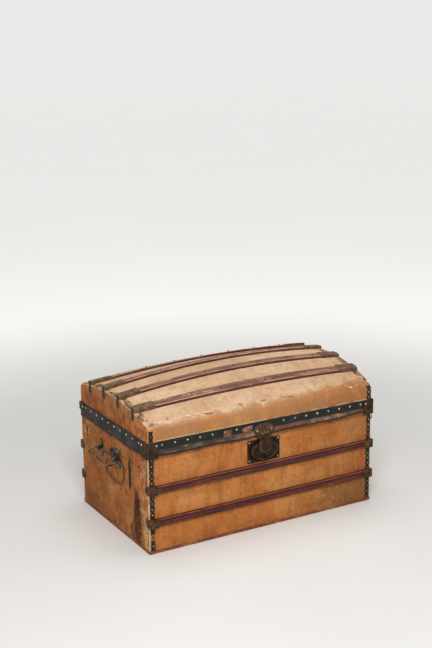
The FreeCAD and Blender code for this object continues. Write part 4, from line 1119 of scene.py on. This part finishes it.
def make_finishes() -> dict[str, bpy.types.Material]:
    """Build every finish once.

    Returns:
        The materials by name.
    """
    every_way = (1, 1, 1)
    return {finish.name: finish.make() for finish in (
        Canvas(),
        Canvas("dome_canvas", srgb(212, 172, 134), srgb(236, 206, 172), srgb(156, 116, 86), srgb(108, 68, 48),
               body_marks=False, gap_shade=0.75, slub_highlight=0.12, soil=0.8,
               warp=(0, 0.7071, 0.7071), weft=(1, 0, 0)),
        Wood("board", srgb(170, 128, 88), srgb(196, 156, 112), srgb(120, 84, 54), (0.05, 1, 1)),
        Paper(),
        Leather("edging", srgb(142, 76, 46), srgb(196, 134, 84), srgb(84, 44, 30), 0.7, (0.4, 0.4, 1)),
        Wood("slat", srgb(98, 38, 25), srgb(160, 90, 64), srgb(38, 15, 10), wear=0.3,
             run=Run.LEVEL, middles=(0.186, 0.091)),
        Wood("dome_slat", srgb(142, 86, 65), srgb(206, 164, 134), srgb(66, 36, 25), wear=0.8,
             run=Run.DOME, middles=(-0.1355, -0.0415, 0.0525, 0.1465), half=0.012),
        Iron("clamp", srgb(62, 40, 25), srgb(122, 88, 56), srgb(48, 27, 16), 0.1, 0.48, specular=0.12),
        Iron("dome_clamp", srgb(94, 67, 47), srgb(142, 110, 80), srgb(52, 32, 21), 0.15, 0.5, dark_ends=True),
        Leather("strip", srgb(30, 22, 17), srgb(112, 74, 48), srgb(14, 11, 9), 0.45),
        Binding(),
        Leather("band", srgb(26, 28, 25), srgb(78, 76, 64), srgb(10, 12, 10), 0.25, (0.3, 0.3, 1)),
        Leather("skirt", srgb(104, 76, 64), srgb(198, 158, 122), srgb(40, 27, 23), 0.62, (0.3, 1, 1.3),
                shadow_hem=True, dark_left=True),
        Leather("end_skirt", srgb(40, 29, 23), srgb(150, 96, 68), srgb(18, 15, 13), 0.55, (1, 0.3, 1.3),
                shadow_hem=True, blush=srgb(62, 42, 34)),
        Leather("scrap", srgb(128, 84, 62), srgb(196, 150, 116), srgb(66, 40, 30), 0.6, every_way),
        Leather("torn", srgb(196, 146, 98), srgb(232, 198, 154), srgb(112, 70, 42), 0.5, every_way),
        Iron("cap", srgb(48, 32, 20), srgb(100, 72, 46), srgb(38, 22, 13), 0.05, 0.48, specular=0.12),
        Iron("cap_rim", srgb(50, 34, 22), srgb(104, 78, 52), srgb(34, 22, 14), 0.1, 0.42, 0.8, specular=0.15),
        Iron("nail", srgb(112, 98, 78), srgb(196, 184, 158), srgb(54, 38, 28), 0.55, 0.36),
        Iron("lock_nail", srgb(142, 118, 88), srgb(206, 184, 148), srgb(70, 48, 34), 0.3, 0.4),
        Iron("stud", srgb(120, 102, 80), srgb(206, 190, 160), srgb(52, 38, 28), 0.4, 0.4),
        Iron("dark_nail", srgb(52, 40, 32), srgb(104, 88, 70), srgb(40, 26, 20), 0.6, 0.42),
        Iron("pale_nail", srgb(84, 58, 43), srgb(178, 148, 118), srgb(46, 28, 20), 0.3, 0.42),
        Iron("bright_nail", srgb(158, 150, 128), srgb(214, 206, 184), srgb(92, 76, 58), 0.5, 0.3),
        Iron("lock", srgb(32, 21, 13), srgb(66, 47, 30), srgb(22, 14, 9), 0.1, 0.38, specular=0.12),
        # paler than the plates under it: painted highlight on the raised rims and the lock bead
        Iron("rim", srgb(62, 46, 33), srgb(138, 115, 88), srgb(36, 25, 18), 0.4, 0.34, 0.45),
        Iron("hasp", srgb(76, 50, 34), srgb(132, 100, 72), srgb(44, 27, 18), 0.2, 0.4, specular=0.15),
        Iron("tongue", srgb(50, 30, 20), srgb(92, 62, 43), srgb(30, 18, 12), 0.15, 0.34, specular=0.15),
        Iron("hinge", srgb(62, 54, 46), srgb(104, 94, 80), srgb(84, 50, 32)),
        Iron("bracket", srgb(50, 42, 36), srgb(132, 120, 102), srgb(60, 36, 26), 0.5, 0.45),
        Iron("wire", srgb(58, 36, 29), srgb(150, 138, 120), srgb(46, 28, 22), 0.6, 0.38),
        Leather("thong", srgb(74, 44, 28), srgb(128, 84, 56), srgb(40, 24, 16), 0.5, every_way),
    )}


# ---------------------------------------------------------------- dust skirt

@dataclass
class Skirt:
    """The worn leather skirt that hangs from the lid over the joint, on the front and both ends."""

    gap: float = 0.0003
    thickness: float = 0.0014
    top: float = 0.3227
    foot: float = 0.278
    cell: float = 0.003
    rows: int = 12
    least: float = 0.0002
    lift: float = 0.0030
    slow_wave: float = 0.0042
    quick_wave: float = 0.0018
    short_from: float = 0.52
    short_run: float = 0.23
    short_end: float = 0.008
    near: float = 0.0010
    far: float = 0.0021
    cap_leg: float = 0.036
    cap_fade: float = 0.03
    hasp_x: float = -0.0075
    hasp_half: float = 0.036
    hasp_fade: float = 0.02
    front_half: float = 0.3

    def edge(self, along: float, seed: float) -> float:
        """The ragged lower edge.

        Args:
            along: A place along the strip, from its first corner.
            seed: Offset of the strip's waves.

        Returns:
            How far the edge stands above the skirt's foot there.
        """
        slow = noise.noise(Vector((along * 9, seed, 0.3)))
        quick = noise.noise(Vector((along * 42, seed, 7.1)))
        short = max(0.0, along - self.short_from) / self.short_run * self.short_end
        return max(self.least, self.lift + self.slow_wave * slow + self.quick_wave * quick + short)

    def room(self, place: Vector, inside: float) -> float:
        """How far the free edge may stand off: less under the caps and behind the hasp.

        Args:
            place: A place on the strip's upper edge.
            inside: 0 under a cap and 1 well away from both.

        Returns:
            The distance in metres.
        """
        hasp = min(1.0, max(0.0, (abs(place.x - self.hasp_x) - self.hasp_half) / self.hasp_fade))
        in_front = place.y < -HALF_DEPTH + 0.001 and abs(place.x) < self.front_half
        return self.near + self.far * min(inside, hasp if in_front else 1.0)

    def strip(self, name: str, node: str, start: Vector, way: Vector, out: Vector, length: float,
              material: bpy.types.Material, seed: float) -> bpy.types.Object:
        """One hanging strip of leather.

        Args:
            name: The piece's name.
            node: The node that it stands for.
            start: Its upper corner at one end.
            way: The direction that it runs.
            out: The direction that it faces.
            length: Its length in metres.
            material: Its finish.
            seed: Offset of its waves.

        Returns:
            The strip.
        """
        drop = self.top - self.foot
        columns, rows = round(length / self.cell), self.rows
        bm = bmesh.new()
        bmesh.ops.create_grid(bm, x_segments=columns, y_segments=rows, size=0.5)
        layer = bm.loops.layers.uv.new("drop")
        for face in bm.faces:
            for loop in face.loops:
                loop[layer].uv = (loop.vert.co.x + 0.5, 0.5 - loop.vert.co.y)
        for vert in bm.verts:
            along, down = (vert.co.x + 0.5) * length, 0.5 - vert.co.y
            tall = drop - self.edge(along, seed)
            free = max(0.0, down - 0.5) * 2
            wave = noise.noise(Vector((along * 26, seed + 3, down * 1.6)))
            ripple = noise.noise(Vector((along * 75, seed + 5, down * 3.0)))
            inside = (length / 2 - abs(along - length / 2) - self.cap_leg) / self.cap_fade
            most = self.room(start + way * along, min(1.0, max(0.0, inside)))
            stand = self.gap + 0.0001 + free * free * most * (0.72 + 0.5 * wave + 0.2 * ripple)
            vert.co = start + way * along + out * stand + Vector((0, 0, -down * tall))
        area = sum(face.calc_area() for face in bm.faces)
        face_out(bm, bm.faces[:], out)
        bmesh.ops.solidify(bm, geom=bm.faces[:], thickness=-self.thickness)
        item = shown(name, bm, material, "lid", 50)
        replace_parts(item, node)
        return item

    def build(self, material: bpy.types.Material, end_material: bpy.types.Material) -> None:
        """Hang the three strips.

        Args:
            material: Finish of the front strip.
            end_material: Finish of the strips on the ends.
        """
        wide, deep = HALF_WIDTH + self.gap, HALF_DEPTH
        for name, node, corner, way, out, length, leather, seed in (
                ("front_skirt", "front_dust_flap", (-wide, -deep), (1, 0, 0), (0, -1, 0), wide * 2,
                 material, 1.7),
                ("left_skirt", "left_dust_flap", (-HALF_WIDTH, deep), (0, -1, 0), (-1, 0, 0), deep * 2,
                 end_material, 4.4),
                ("right_skirt", "right_dust_flap", (HALF_WIDTH, -deep), (0, 1, 0), (1, 0, 0), deep * 2,
                 end_material, 8.9)):
            self.strip(name, node, Vector((*corner, self.top)), Vector(way), Vector(out), length, leather,
                       seed)


# ---------------------------------------------------------------- nails, strips and trim

def islands(bm: bmesh.types.BMesh) -> list[list]:
    """Find the separate shells of a mesh.

    Args:
        bm: The mesh.

    Returns:
        The shells, each a list of vertices.
    """
    seen, groups = set(), []
    for first in bm.verts:
        if first in seen:
            continue
        group, queue = [], [first]
        seen.add(first)
        while queue:
            vert = queue.pop()
            group.append(vert)
            for edge in vert.link_edges:
                other = edge.other_vert(vert)
                if other not in seen:
                    seen.add(other)
                    queue.append(other)
        groups.append(group)
    return groups


@dataclass
class NailSet:
    """Hammered domed heads in the places of one node's nails."""

    name: str
    node: str
    body: str
    slot: str
    radius: float = 0.0034
    height: float = 0.0022
    dent: float = 0.0003
    waves: float = 260
    smallest: float = 0.94
    spread: float = 0.12
    turn: float = 1.3

    def seat(self, verts: list) -> tuple[Vector, Vector]:
        """Where one nail's flat back lies, and the way that it faces.

        Args:
            verts: The vertices of one head.

        Returns:
            The foot and the outward direction.
        """
        middle = sum((v.co for v in verts), Vector()) / len(verts)
        faces = dict.fromkeys(face for vert in verts for face in vert.link_faces)
        share: dict = {}
        for face in faces:
            key = tuple(round(c, 2) for c in face.normal)
            share[key] = share.get(key, 0.0) + face.calc_area()
        ends = sorted(share, key=share.get)[-2:]
        heart = Vector((middle.x * 0.3, 0.0, 0.15))
        out = max((Vector(n) for n in ends), key=lambda n: n.dot(middle - heart)).normalized()
        low = min((v.co - middle).dot(out) for v in verts)
        return middle + out * low, out

    def build(self, material: bpy.types.Material) -> bpy.types.Object:
        """Make the heads and stand them for the node.

        Args:
            material: Their finish.

        Returns:
            The piece.
        """
        source = merged_copy(self.node)
        bm = bmesh.new()
        for number, verts in enumerate(islands(source)):
            foot, out = self.seat(verts)
            radius = self.radius * (self.smallest + self.spread * random.random())
            place = Matrix.Translation(foot) @ facing(out) @ Matrix.Rotation(number * self.turn, 4, "Z")
            wobble(domed_head(bm, radius, self.height, place), self.dent, self.waves, number * 3.1)
        source.free()
        bmesh.ops.remove_doubles(bm, verts=bm.verts, dist=WELD)
        item = shown(self.name, bm, material, self.body, 70)
        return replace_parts(item, self.node)


@dataclass
class StuddedStrip:
    """A scalloped leather strip with a stud in each scallop, for every upright strip of a node."""

    name: str
    node: str
    body: str
    pitch: float = 0.0165
    narrow: float = 0.0034
    wide: float = 0.0074
    least: float = 0.0012
    fray: float = 0.0022
    loss: float = 0.012
    thickness: float = 0.0011
    row: float = 0.0014
    stud: float = 0.0027
    stud_height: float = 0.0018
    stray: float = 0.0008
    tops: tuple = ()
    straight: float = 0.348

    def width_at(self, z: float, seed: float) -> float:
        """Half the strip's width: scallops, worn away in places.

        Args:
            z: A height on the strip.
            seed: Offset of its scallops and its wear.

        Returns:
            Half the width there.
        """
        swing = abs(math.sin(math.pi * z / self.pitch + seed))
        rough = noise.noise(Vector((z * 90, seed, 2.0))) * self.fray
        worn = max(0.0, noise.noise(Vector((z * 31, seed * 5, 4.0))) - 0.12) * self.loss
        half = self.narrow + (self.wide - self.narrow) * swing ** 0.7 + rough - worn
        return min(self.wide, max(self.least, half))

    def drape(self, bm: bmesh.types.BMesh, side: float) -> None:
        """Lay what stands above the straight face on the lid's round shoulder.

        Args:
            bm: The strips or the studs.
            side: -1 for the front and 1 for the back.
        """
        skin = bmesh.new()
        skin.from_mesh(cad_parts["lid_canvas"].data)
        tree = BVHTree.FromBMesh(skin)
        for vert in bm.verts:
            if vert.co.z > self.straight and vert.co.y * side > 0:
                start = Vector((vert.co.x, side * RAY_START, vert.co.z))
                hit = tree.ray_cast(start, Vector((0, -side, 0)))[0]
                if hit is not None:
                    vert.co.y = hit.y + (vert.co.y - side * HALF_DEPTH)
        skin.free()

    def build(self, leather: bpy.types.Material, metal: bpy.types.Material) -> None:
        """Make the strips and their studs.

        Args:
            leather: Finish of the strips.
            metal: Finish of the studs.
        """
        source = merged_copy(self.node)
        strips, studs = bmesh.new(), bmesh.new()
        for number, verts in enumerate(islands(source)):
            low = Vector([min(v.co[i] for v in verts) for i in range(3)])
            high = Vector([max(v.co[i] for v in verts) for i in range(3)])
            if self.tops:
                high.z = self.tops[0 if low.x < 0 else 1]
            side = -1.0 if low.y < 0 else 1.0
            back = high.y if side < 0 else low.y
            middle_x, seed = (low.x + high.x) / 2, number * 1.7
            self.one_strip(strips, low, high, side, back, seed)
            z = low.z + ((0.5 - seed / math.pi) * self.pitch - low.z) % self.pitch
            while z < high.z - self.stud:
                lean = Vector((self.stray * random.uniform(-1, 1), 0, self.stray * random.uniform(-1, 1)))
                spot = Vector((middle_x, back + side * self.thickness, z)) + lean
                domed_head(studs, self.stud, self.stud_height,
                           Matrix.Translation(spot) @ facing(Vector((0, side, 0))), 10, 6)
                z += self.pitch
        source.free()
        bmesh.ops.remove_doubles(studs, verts=studs.verts, dist=WELD)
        if self.tops:
            for shape in (strips, studs):
                for side in (-1.0, 1.0):
                    self.drape(shape, side)
        item = shown(self.name, strips, leather, self.body, 35)
        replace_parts(item, self.node)
        shown(f"{self.name}_studs", studs, metal, self.body, 70)

    def one_strip(self, bm: bmesh.types.BMesh, low: Vector, high: Vector, side: float, back: float,
                  seed: float) -> None:
        """Add one scalloped strip between two heights.

        Args:
            bm: The shape that it is added to.
            low: The least x, y and z of the plain strip.
            high: The greatest.
            side: -1 for the front and 1 for the back.
            back: The y of its back.
            seed: Offset of its scallops.
        """
        rows = max(6, round((high.z - low.z) / self.row))
        grid = bmesh.ops.create_grid(bm, x_segments=4, y_segments=rows, size=0.5)["verts"]
        middle_x = (low.x + high.x) / 2
        for vert in grid:
            z = low.z + (vert.co.y + 0.5) * (high.z - low.z)
            vert.co = Vector((middle_x + vert.co.x * 2 * self.width_at(z, seed), back, z))
        faces = list(dict.fromkeys(face for vert in grid for face in vert.link_faces))
        face_out(bm, faces, Vector((0, side, 0)))
        thicken(bm, faces, (0, side * self.thickness, 0))


@dataclass
class RaisedRim:
    """A raised border that follows the outline of one flat face of a node."""

    name: str
    node: str
    body: str
    slot: str
    face_y: float
    width: float = 0.0026
    height: float = 0.0007
    top: float = 1.0

    def build(self, material: bpy.types.Material) -> bpy.types.Object:
        """Make the border on the face that lies at face_y, up to the height called top.

        Args:
            material: Its finish.

        Returns:
            The piece.
        """
        bm = merged_copy(self.node)
        spare = [f for f in bm.faces
                 if f.normal.y > -FLAT or abs(f.calc_center_median().y - self.face_y) > 2e-4]
        bmesh.ops.delete(bm, geom=spare, context="FACES")
        bmesh.ops.dissolve_limit(bm, angle_limit=JOIN_ANGLE, verts=bm.verts, edges=bm.edges)
        field_face = max(bm.faces, key=lambda f: f.calc_area())
        bmesh.ops.delete(bm, geom=[f for f in bm.faces if f is not field_face], context="FACES")
        bmesh.ops.inset_region(bm, faces=[field_face], thickness=self.width, use_even_offset=True,
                               use_boundary=True)
        bmesh.ops.delete(bm, geom=[field_face], context="FACES")
        bmesh.ops.bisect_plane(bm, geom=bm.verts[:] + bm.edges[:] + bm.faces[:], dist=1e-6,
                               plane_co=(0, 0, self.top), plane_no=(0, 0, 1), clear_outer=True)
        thicken(bm, bm.faces[:], (0, -self.height, 0))
        return shown(self.name, bm, material, self.body, 30)


@dataclass
class CapRims:
    """A raised border round each outer face of the four corner caps."""

    node: str = "corner_caps"
    half_width: float = 0.3762
    half_depth: float = 0.2222
    width: float = 0.0020
    height: float = 0.0005

    def outer(self, face: bmesh.types.BMFace) -> bool:
        """Whether a face is flat and looks straight out of the trunk's front, back or an end.

        Args:
            face: A face of the caps.

        Returns:
            True where it is such a face.
        """
        middle = face.calc_center_median()
        across = abs(face.normal.x) > FLAT and middle.x * face.normal.x > self.half_width
        return across or abs(face.normal.y) > FLAT and middle.y * face.normal.y > self.half_depth

    def build(self, material: bpy.types.Material) -> bpy.types.Object:
        """Inset the border on each face and raise it.

        Args:
            material: Its finish.

        Returns:
            The piece.
        """
        bm = merged_copy(self.node)
        bmesh.ops.delete(bm, geom=[f for f in bm.faces if not self.outer(f)], context="FACES")
        bmesh.ops.dissolve_limit(bm, angle_limit=JOIN_ANGLE, verts=bm.verts, edges=bm.edges)
        bmesh.ops.split_edges(bm, edges=bm.edges[:])
        fields = bm.faces[:]
        bmesh.ops.inset_individual(bm, faces=fields, thickness=self.width, use_even_offset=True)
        bmesh.ops.delete(bm, geom=fields, context="FACES")
        borders = bm.faces[:]
        away = {vert: face.normal.copy() for face in borders for vert in face.verts}
        raised = bmesh.ops.extrude_face_region(bm, geom=borders)["geom"]
        for vert in raised:
            if isinstance(vert, bmesh.types.BMVert):
                nearest = min(away, key=lambda old: (old.co - vert.co).length_squared)
                vert.co += away[nearest] * self.height
        return shown("cap_rims", bm, material, "lid", 30)


@dataclass
class OvalBead:
    """A thin bead round the dish of the oval lock case, broken where the tongue lies over it."""

    centre: Point = (-0.0075, -0.2299, 0.236)
    length: float = 0.0835
    height: float = 0.0495
    wire: float = 0.0008
    clear: float = 0.0215

    def build(self, material: bpy.types.Material) -> bpy.types.Object:
        """Spin the bead, stretch it to the oval and open it under the tongue.

        Args:
            material: Its finish.

        Returns:
            The piece.
        """
        bm = bmesh.new()
        upright = Matrix.Translation((1, 0, 0)) @ Matrix.Rotation(math.pi / 2, 4, "X")
        ring = bmesh.ops.create_circle(bm, segments=8, radius=self.wire, matrix=upright)
        bmesh.ops.spin(bm, geom=ring["verts"] + bm.edges[:], cent=(0, 0, 0), axis=(0, 0, 1),
                       angle=2 * math.pi, steps=72, use_merge=True)
        centre = Vector(self.centre)
        for vert in bm.verts:
            angle = math.atan2(vert.co.y, vert.co.x)
            proud = math.hypot(vert.co.x, vert.co.y) - 1
            wide, tall = self.length / 2 + proud, self.height / 2 + proud
            vert.co = Vector((math.cos(angle) * wide, -vert.co.z, math.sin(angle) * tall)) + centre
        hidden = [v for v in bm.verts
                  if v.co.z > self.centre[2] and abs(v.co.x - self.centre[0]) < self.clear]
        bmesh.ops.delete(bm, geom=hidden, context="VERTS")
        bmesh.ops.holes_fill(bm, edges=[e for e in bm.edges if e.is_boundary], sides=12)
        return shown("lock_bead", bm, material, "trunk", 60)


@dataclass
class Scrap:
    """A small torn piece of leather or cloth that lies on a face of the trunk."""

    name: str
    body: str
    slot: str
    middle: Point
    out: Point
    size: tuple[float, float]
    thickness: float = 0.0008
    lift: float = 0.0
    turn: float = 0.0
    ragged: float = 0.3
    seed: float = 0.0
    cloth: bool = True
    rests_on: str = "body_canvas"
    squareness: float = 0.6
    fill: float = 0.85

    def build(self, material: bpy.types.Material) -> bpy.types.Object:
        """Cut the scrap with a ragged outline, curl its edge and lay it in place.

        Args:
            material: Its finish.

        Returns:
            The piece.
        """
        bm = bmesh.new()
        bmesh.ops.create_circle(bm, cap_ends=True, cap_tris=True, segments=48, radius=1.0)
        spokes = [e for e in bm.edges if not e.is_boundary]
        bmesh.ops.subdivide_edges(bm, edges=spokes, cuts=5, use_grid_fill=True)
        wide, tall = self.size[0] / 2, self.size[1] / 2
        for vert in bm.verts:
            reach = min(1.0, vert.co.length)
            angle = math.atan2(vert.co.y, vert.co.x)
            square = 1.0 / max(abs(math.cos(angle)), abs(math.sin(angle))) ** self.squareness
            around = Vector((math.cos(angle), math.sin(angle), 0.0))
            wild = 1 + self.ragged * noise.noise(around * 1.6 + Vector((0, 0, self.seed)))
            wild += self.ragged * 0.3 * noise.noise(around * 4.2 + Vector((0, 0, self.seed + 9)))
            curl = self.lift * reach ** 3 * (0.6 + 0.4 * math.sin(angle * 2 + self.seed))
            vert.co = Vector((math.cos(angle) * reach * wide * square * wild * self.fill,
                              math.sin(angle) * reach * tall * square * wild * self.fill, curl))
        out = Vector(self.out)
        place = Matrix.Translation(self.middle) @ facing(out) @ Matrix.Rotation(self.turn, 4, "Z")
        bmesh.ops.transform(bm, matrix=place, verts=bm.verts)
        face_out(bm, bm.faces[:], out)
        area = sum(face.calc_area() for face in bm.faces)
        bmesh.ops.solidify(bm, geom=bm.faces[:], thickness=-self.thickness)
        item = shown(self.name, bm, material, self.body, 50)
        return item


@dataclass
class HingeNails:
    """Four nail heads on each leaf of the two hinges, seated on the leaf by a ray from behind."""

    name: str
    suffix: str
    body: str
    heights: tuple[float, float]
    middles: tuple[float, float] = (-0.235, 0.235)
    across: float = 0.0205
    radius: float = 0.0032
    height: float = 0.0016
    dent: float = 0.0002
    waves: float = 260

    def build(self, material: bpy.types.Material) -> bpy.types.Object:
        """Make the heads of both leaves as one piece.

        Args:
            material: Their finish.

        Returns:
            The piece.
        """
        bm = bmesh.new()
        for side, middle in zip(("left", "right"), self.middles):
            leaf = bmesh.new()
            leaf.from_mesh(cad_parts[f"{side}_{self.suffix}"].data)
            tree = BVHTree.FromBMesh(leaf)
            for x in (middle - self.across, middle + self.across):
                for z in self.heights:
                    spot, normal, _, _ = tree.ray_cast(Vector((x, RAY_START, z)), Vector((0, -1, 0)))
                    if spot is None:
                        LOG.warning("no leaf under a nail at %.3f %.3f", x, z)
                        continue
                    made = domed_head(bm, self.radius, self.height, Matrix.Translation(spot) @ facing(normal))
                    wobble(made, self.dent, self.waves, x + z)
            leaf.free()
        bmesh.ops.remove_doubles(bm, verts=bm.verts, dist=WELD)
        return shown(self.name, bm, material, self.body, 70)


def add_nails(finishes: dict[str, bpy.types.Material]) -> None:
    """Add domed heads for every set of nails.

    Args:
        finishes: The materials by name.
    """
    HingeNails("hinge_body_heads", "hinge_body_leaf", "trunk", (0.2655, 0.2835)).build(finishes["nail"])
    HingeNails("hinge_lid_heads", "hinge_lid_leaf", "lid", (0.3145, 0.3345)).build(finishes["nail"])
    for name, node, body, key, radius in (
            ("front_slat_heads", "front_slat_nails", "trunk", "dark_nail", 0.0034),
            ("back_slat_heads", "back_slat_nails", "trunk", "dark_nail", 0.0034),
            ("lock_heads", "lock_nails", "trunk", "lock_nail", 0.0031),
            ("handle_heads", "handle_nails", "trunk", "nail", 0.0034),
            ("dome_slat_heads", "dome_slat_nails", "lid", "pale_nail", 0.0036),
            ("band_heads", "band_nails", "lid", "bright_nail", 0.0033),
            ("hasp_heads", "hasp_rivets", "lid", "bright_nail", 0.0030)):
        NailSet(name, node, body, "nail", radius).build(finishes[key])


def add_trim(finishes: dict[str, bpy.types.Material]) -> None:
    """Add the scalloped strips, the raised rims in a paler finish that is painted highlight, and the torn
    scraps.

    Args:
        finishes: The materials by name.
    """
    for name, node, body, tops in (("front_strips", "front_corner_strips", "trunk", ()),
                                   ("back_strips", "back_corner_strips", "trunk", ()),
                                   ("lid_strips", "lid_corner_strips", "lid", (0.354, 0.364))):
        StuddedStrip(name, node, body, tops=tops).build(finishes["strip"], finishes["stud"])
    # the rims and the bead take the paler finish as painted highlight on their edges
    for rim in (RaisedRim("hasp_rim", "hasp_plate", "lid", "lock", -0.2263, 0.0030),
                RaisedRim("tongue_rim", "hasp_tongue", "hasp", "lock", -0.2320, 0.0022, top=0.2705),
                RaisedRim("lock_plate_rim", "lock_plate", "trunk", "lock", -0.2225, 0.0016, 0.0005),
                OvalBead()):
        rim.build(finishes["rim"])
    CapRims().build(finishes["cap_rim"])
    left, front = (-1, 0, 0), (0, -1, 0)
    band_face, canvas_end, pad = -0.2247, -HALF_WIDTH, 0.0009
    for scrap, key in (
            (Scrap("bracket_pad", "trunk", "handle", (canvas_end, -0.012, 0.221), left, (0.070, 0.056), pad,
                   ragged=0.24, seed=3.3, cloth=False), "bracket"),
            (Scrap("bracket_shim", "trunk", "handle", (canvas_end - pad, 0.006, 0.226), left,
                   (0.030, 0.030), 0.0008, 0.0010, 0.8, 0.22, 5.1, cloth=False), "bracket"),
            (Scrap("band_scrap_left", "lid", "flap", (-0.128, band_face, 0.3075), front, (0.031, 0.021),
                   0.0007, 0.0010, 0.15, 0.26, 2.2, rests_on="lid_band"), "scrap"),
            (Scrap("band_scrap_right", "lid", "flap", (-0.064, band_face, 0.3085), front, (0.042, 0.018),
                   0.0007, 0.0010, 0.1, 0.24, 6.4, rests_on="lid_band"), "scrap"),
            (Scrap("torn_tab_low", "trunk", "canvas", (canvas_end, 0.190, 0.244), left, (0.016, 0.040),
                   0.0005, 0.0034, 0.45, 0.3, 1.2), "torn"),
            (Scrap("torn_tab_high", "trunk", "canvas", (canvas_end, 0.164, 0.250), left, (0.013, 0.034),
                   0.0005, 0.0034, -0.35, 0.3, 4.2), "torn"),
            (Scrap("torn_tab_corner", "trunk", "canvas", (canvas_end, -0.206, 0.236), left, (0.018, 0.052),
                   0.0005, 0.0026, 0.06, 0.4, 2.9), "torn"),
            (Scrap("torn_tab_foot", "trunk", "canvas", (canvas_end, -0.211, 0.048), left, (0.013, 0.044),
                   0.0005, 0.0022, -0.05, 0.4, 8.3), "torn"),
            (Scrap("torn_tab_right", "trunk", "canvas", (0.3746, -0.2212, 0.2665), (0.45, -0.89, 0.1),
                   (0.013, 0.014), 0.0008, 0.0014, 0.2, 0.5, 7.2), "torn")):
        scrap.build(finishes[key])


# ---------------------------------------------------------------- the whole

def main() -> None:
    """Build the stage, dress every node and add the pieces that the solids leave plain."""
    logging.basicConfig(level=logging.INFO)
    random.seed(SEED)
    noise.seed_set(SEED)
    finishes = make_finishes()
    Studio().build()
    Thong().build(finishes["thong"])
    KeptParts().dress(finishes)
    Skirt().build(finishes["skirt"], finishes["end_skirt"])
    add_nails(finishes)
    add_trim(finishes)


if __name__ == "__main__":
    main()
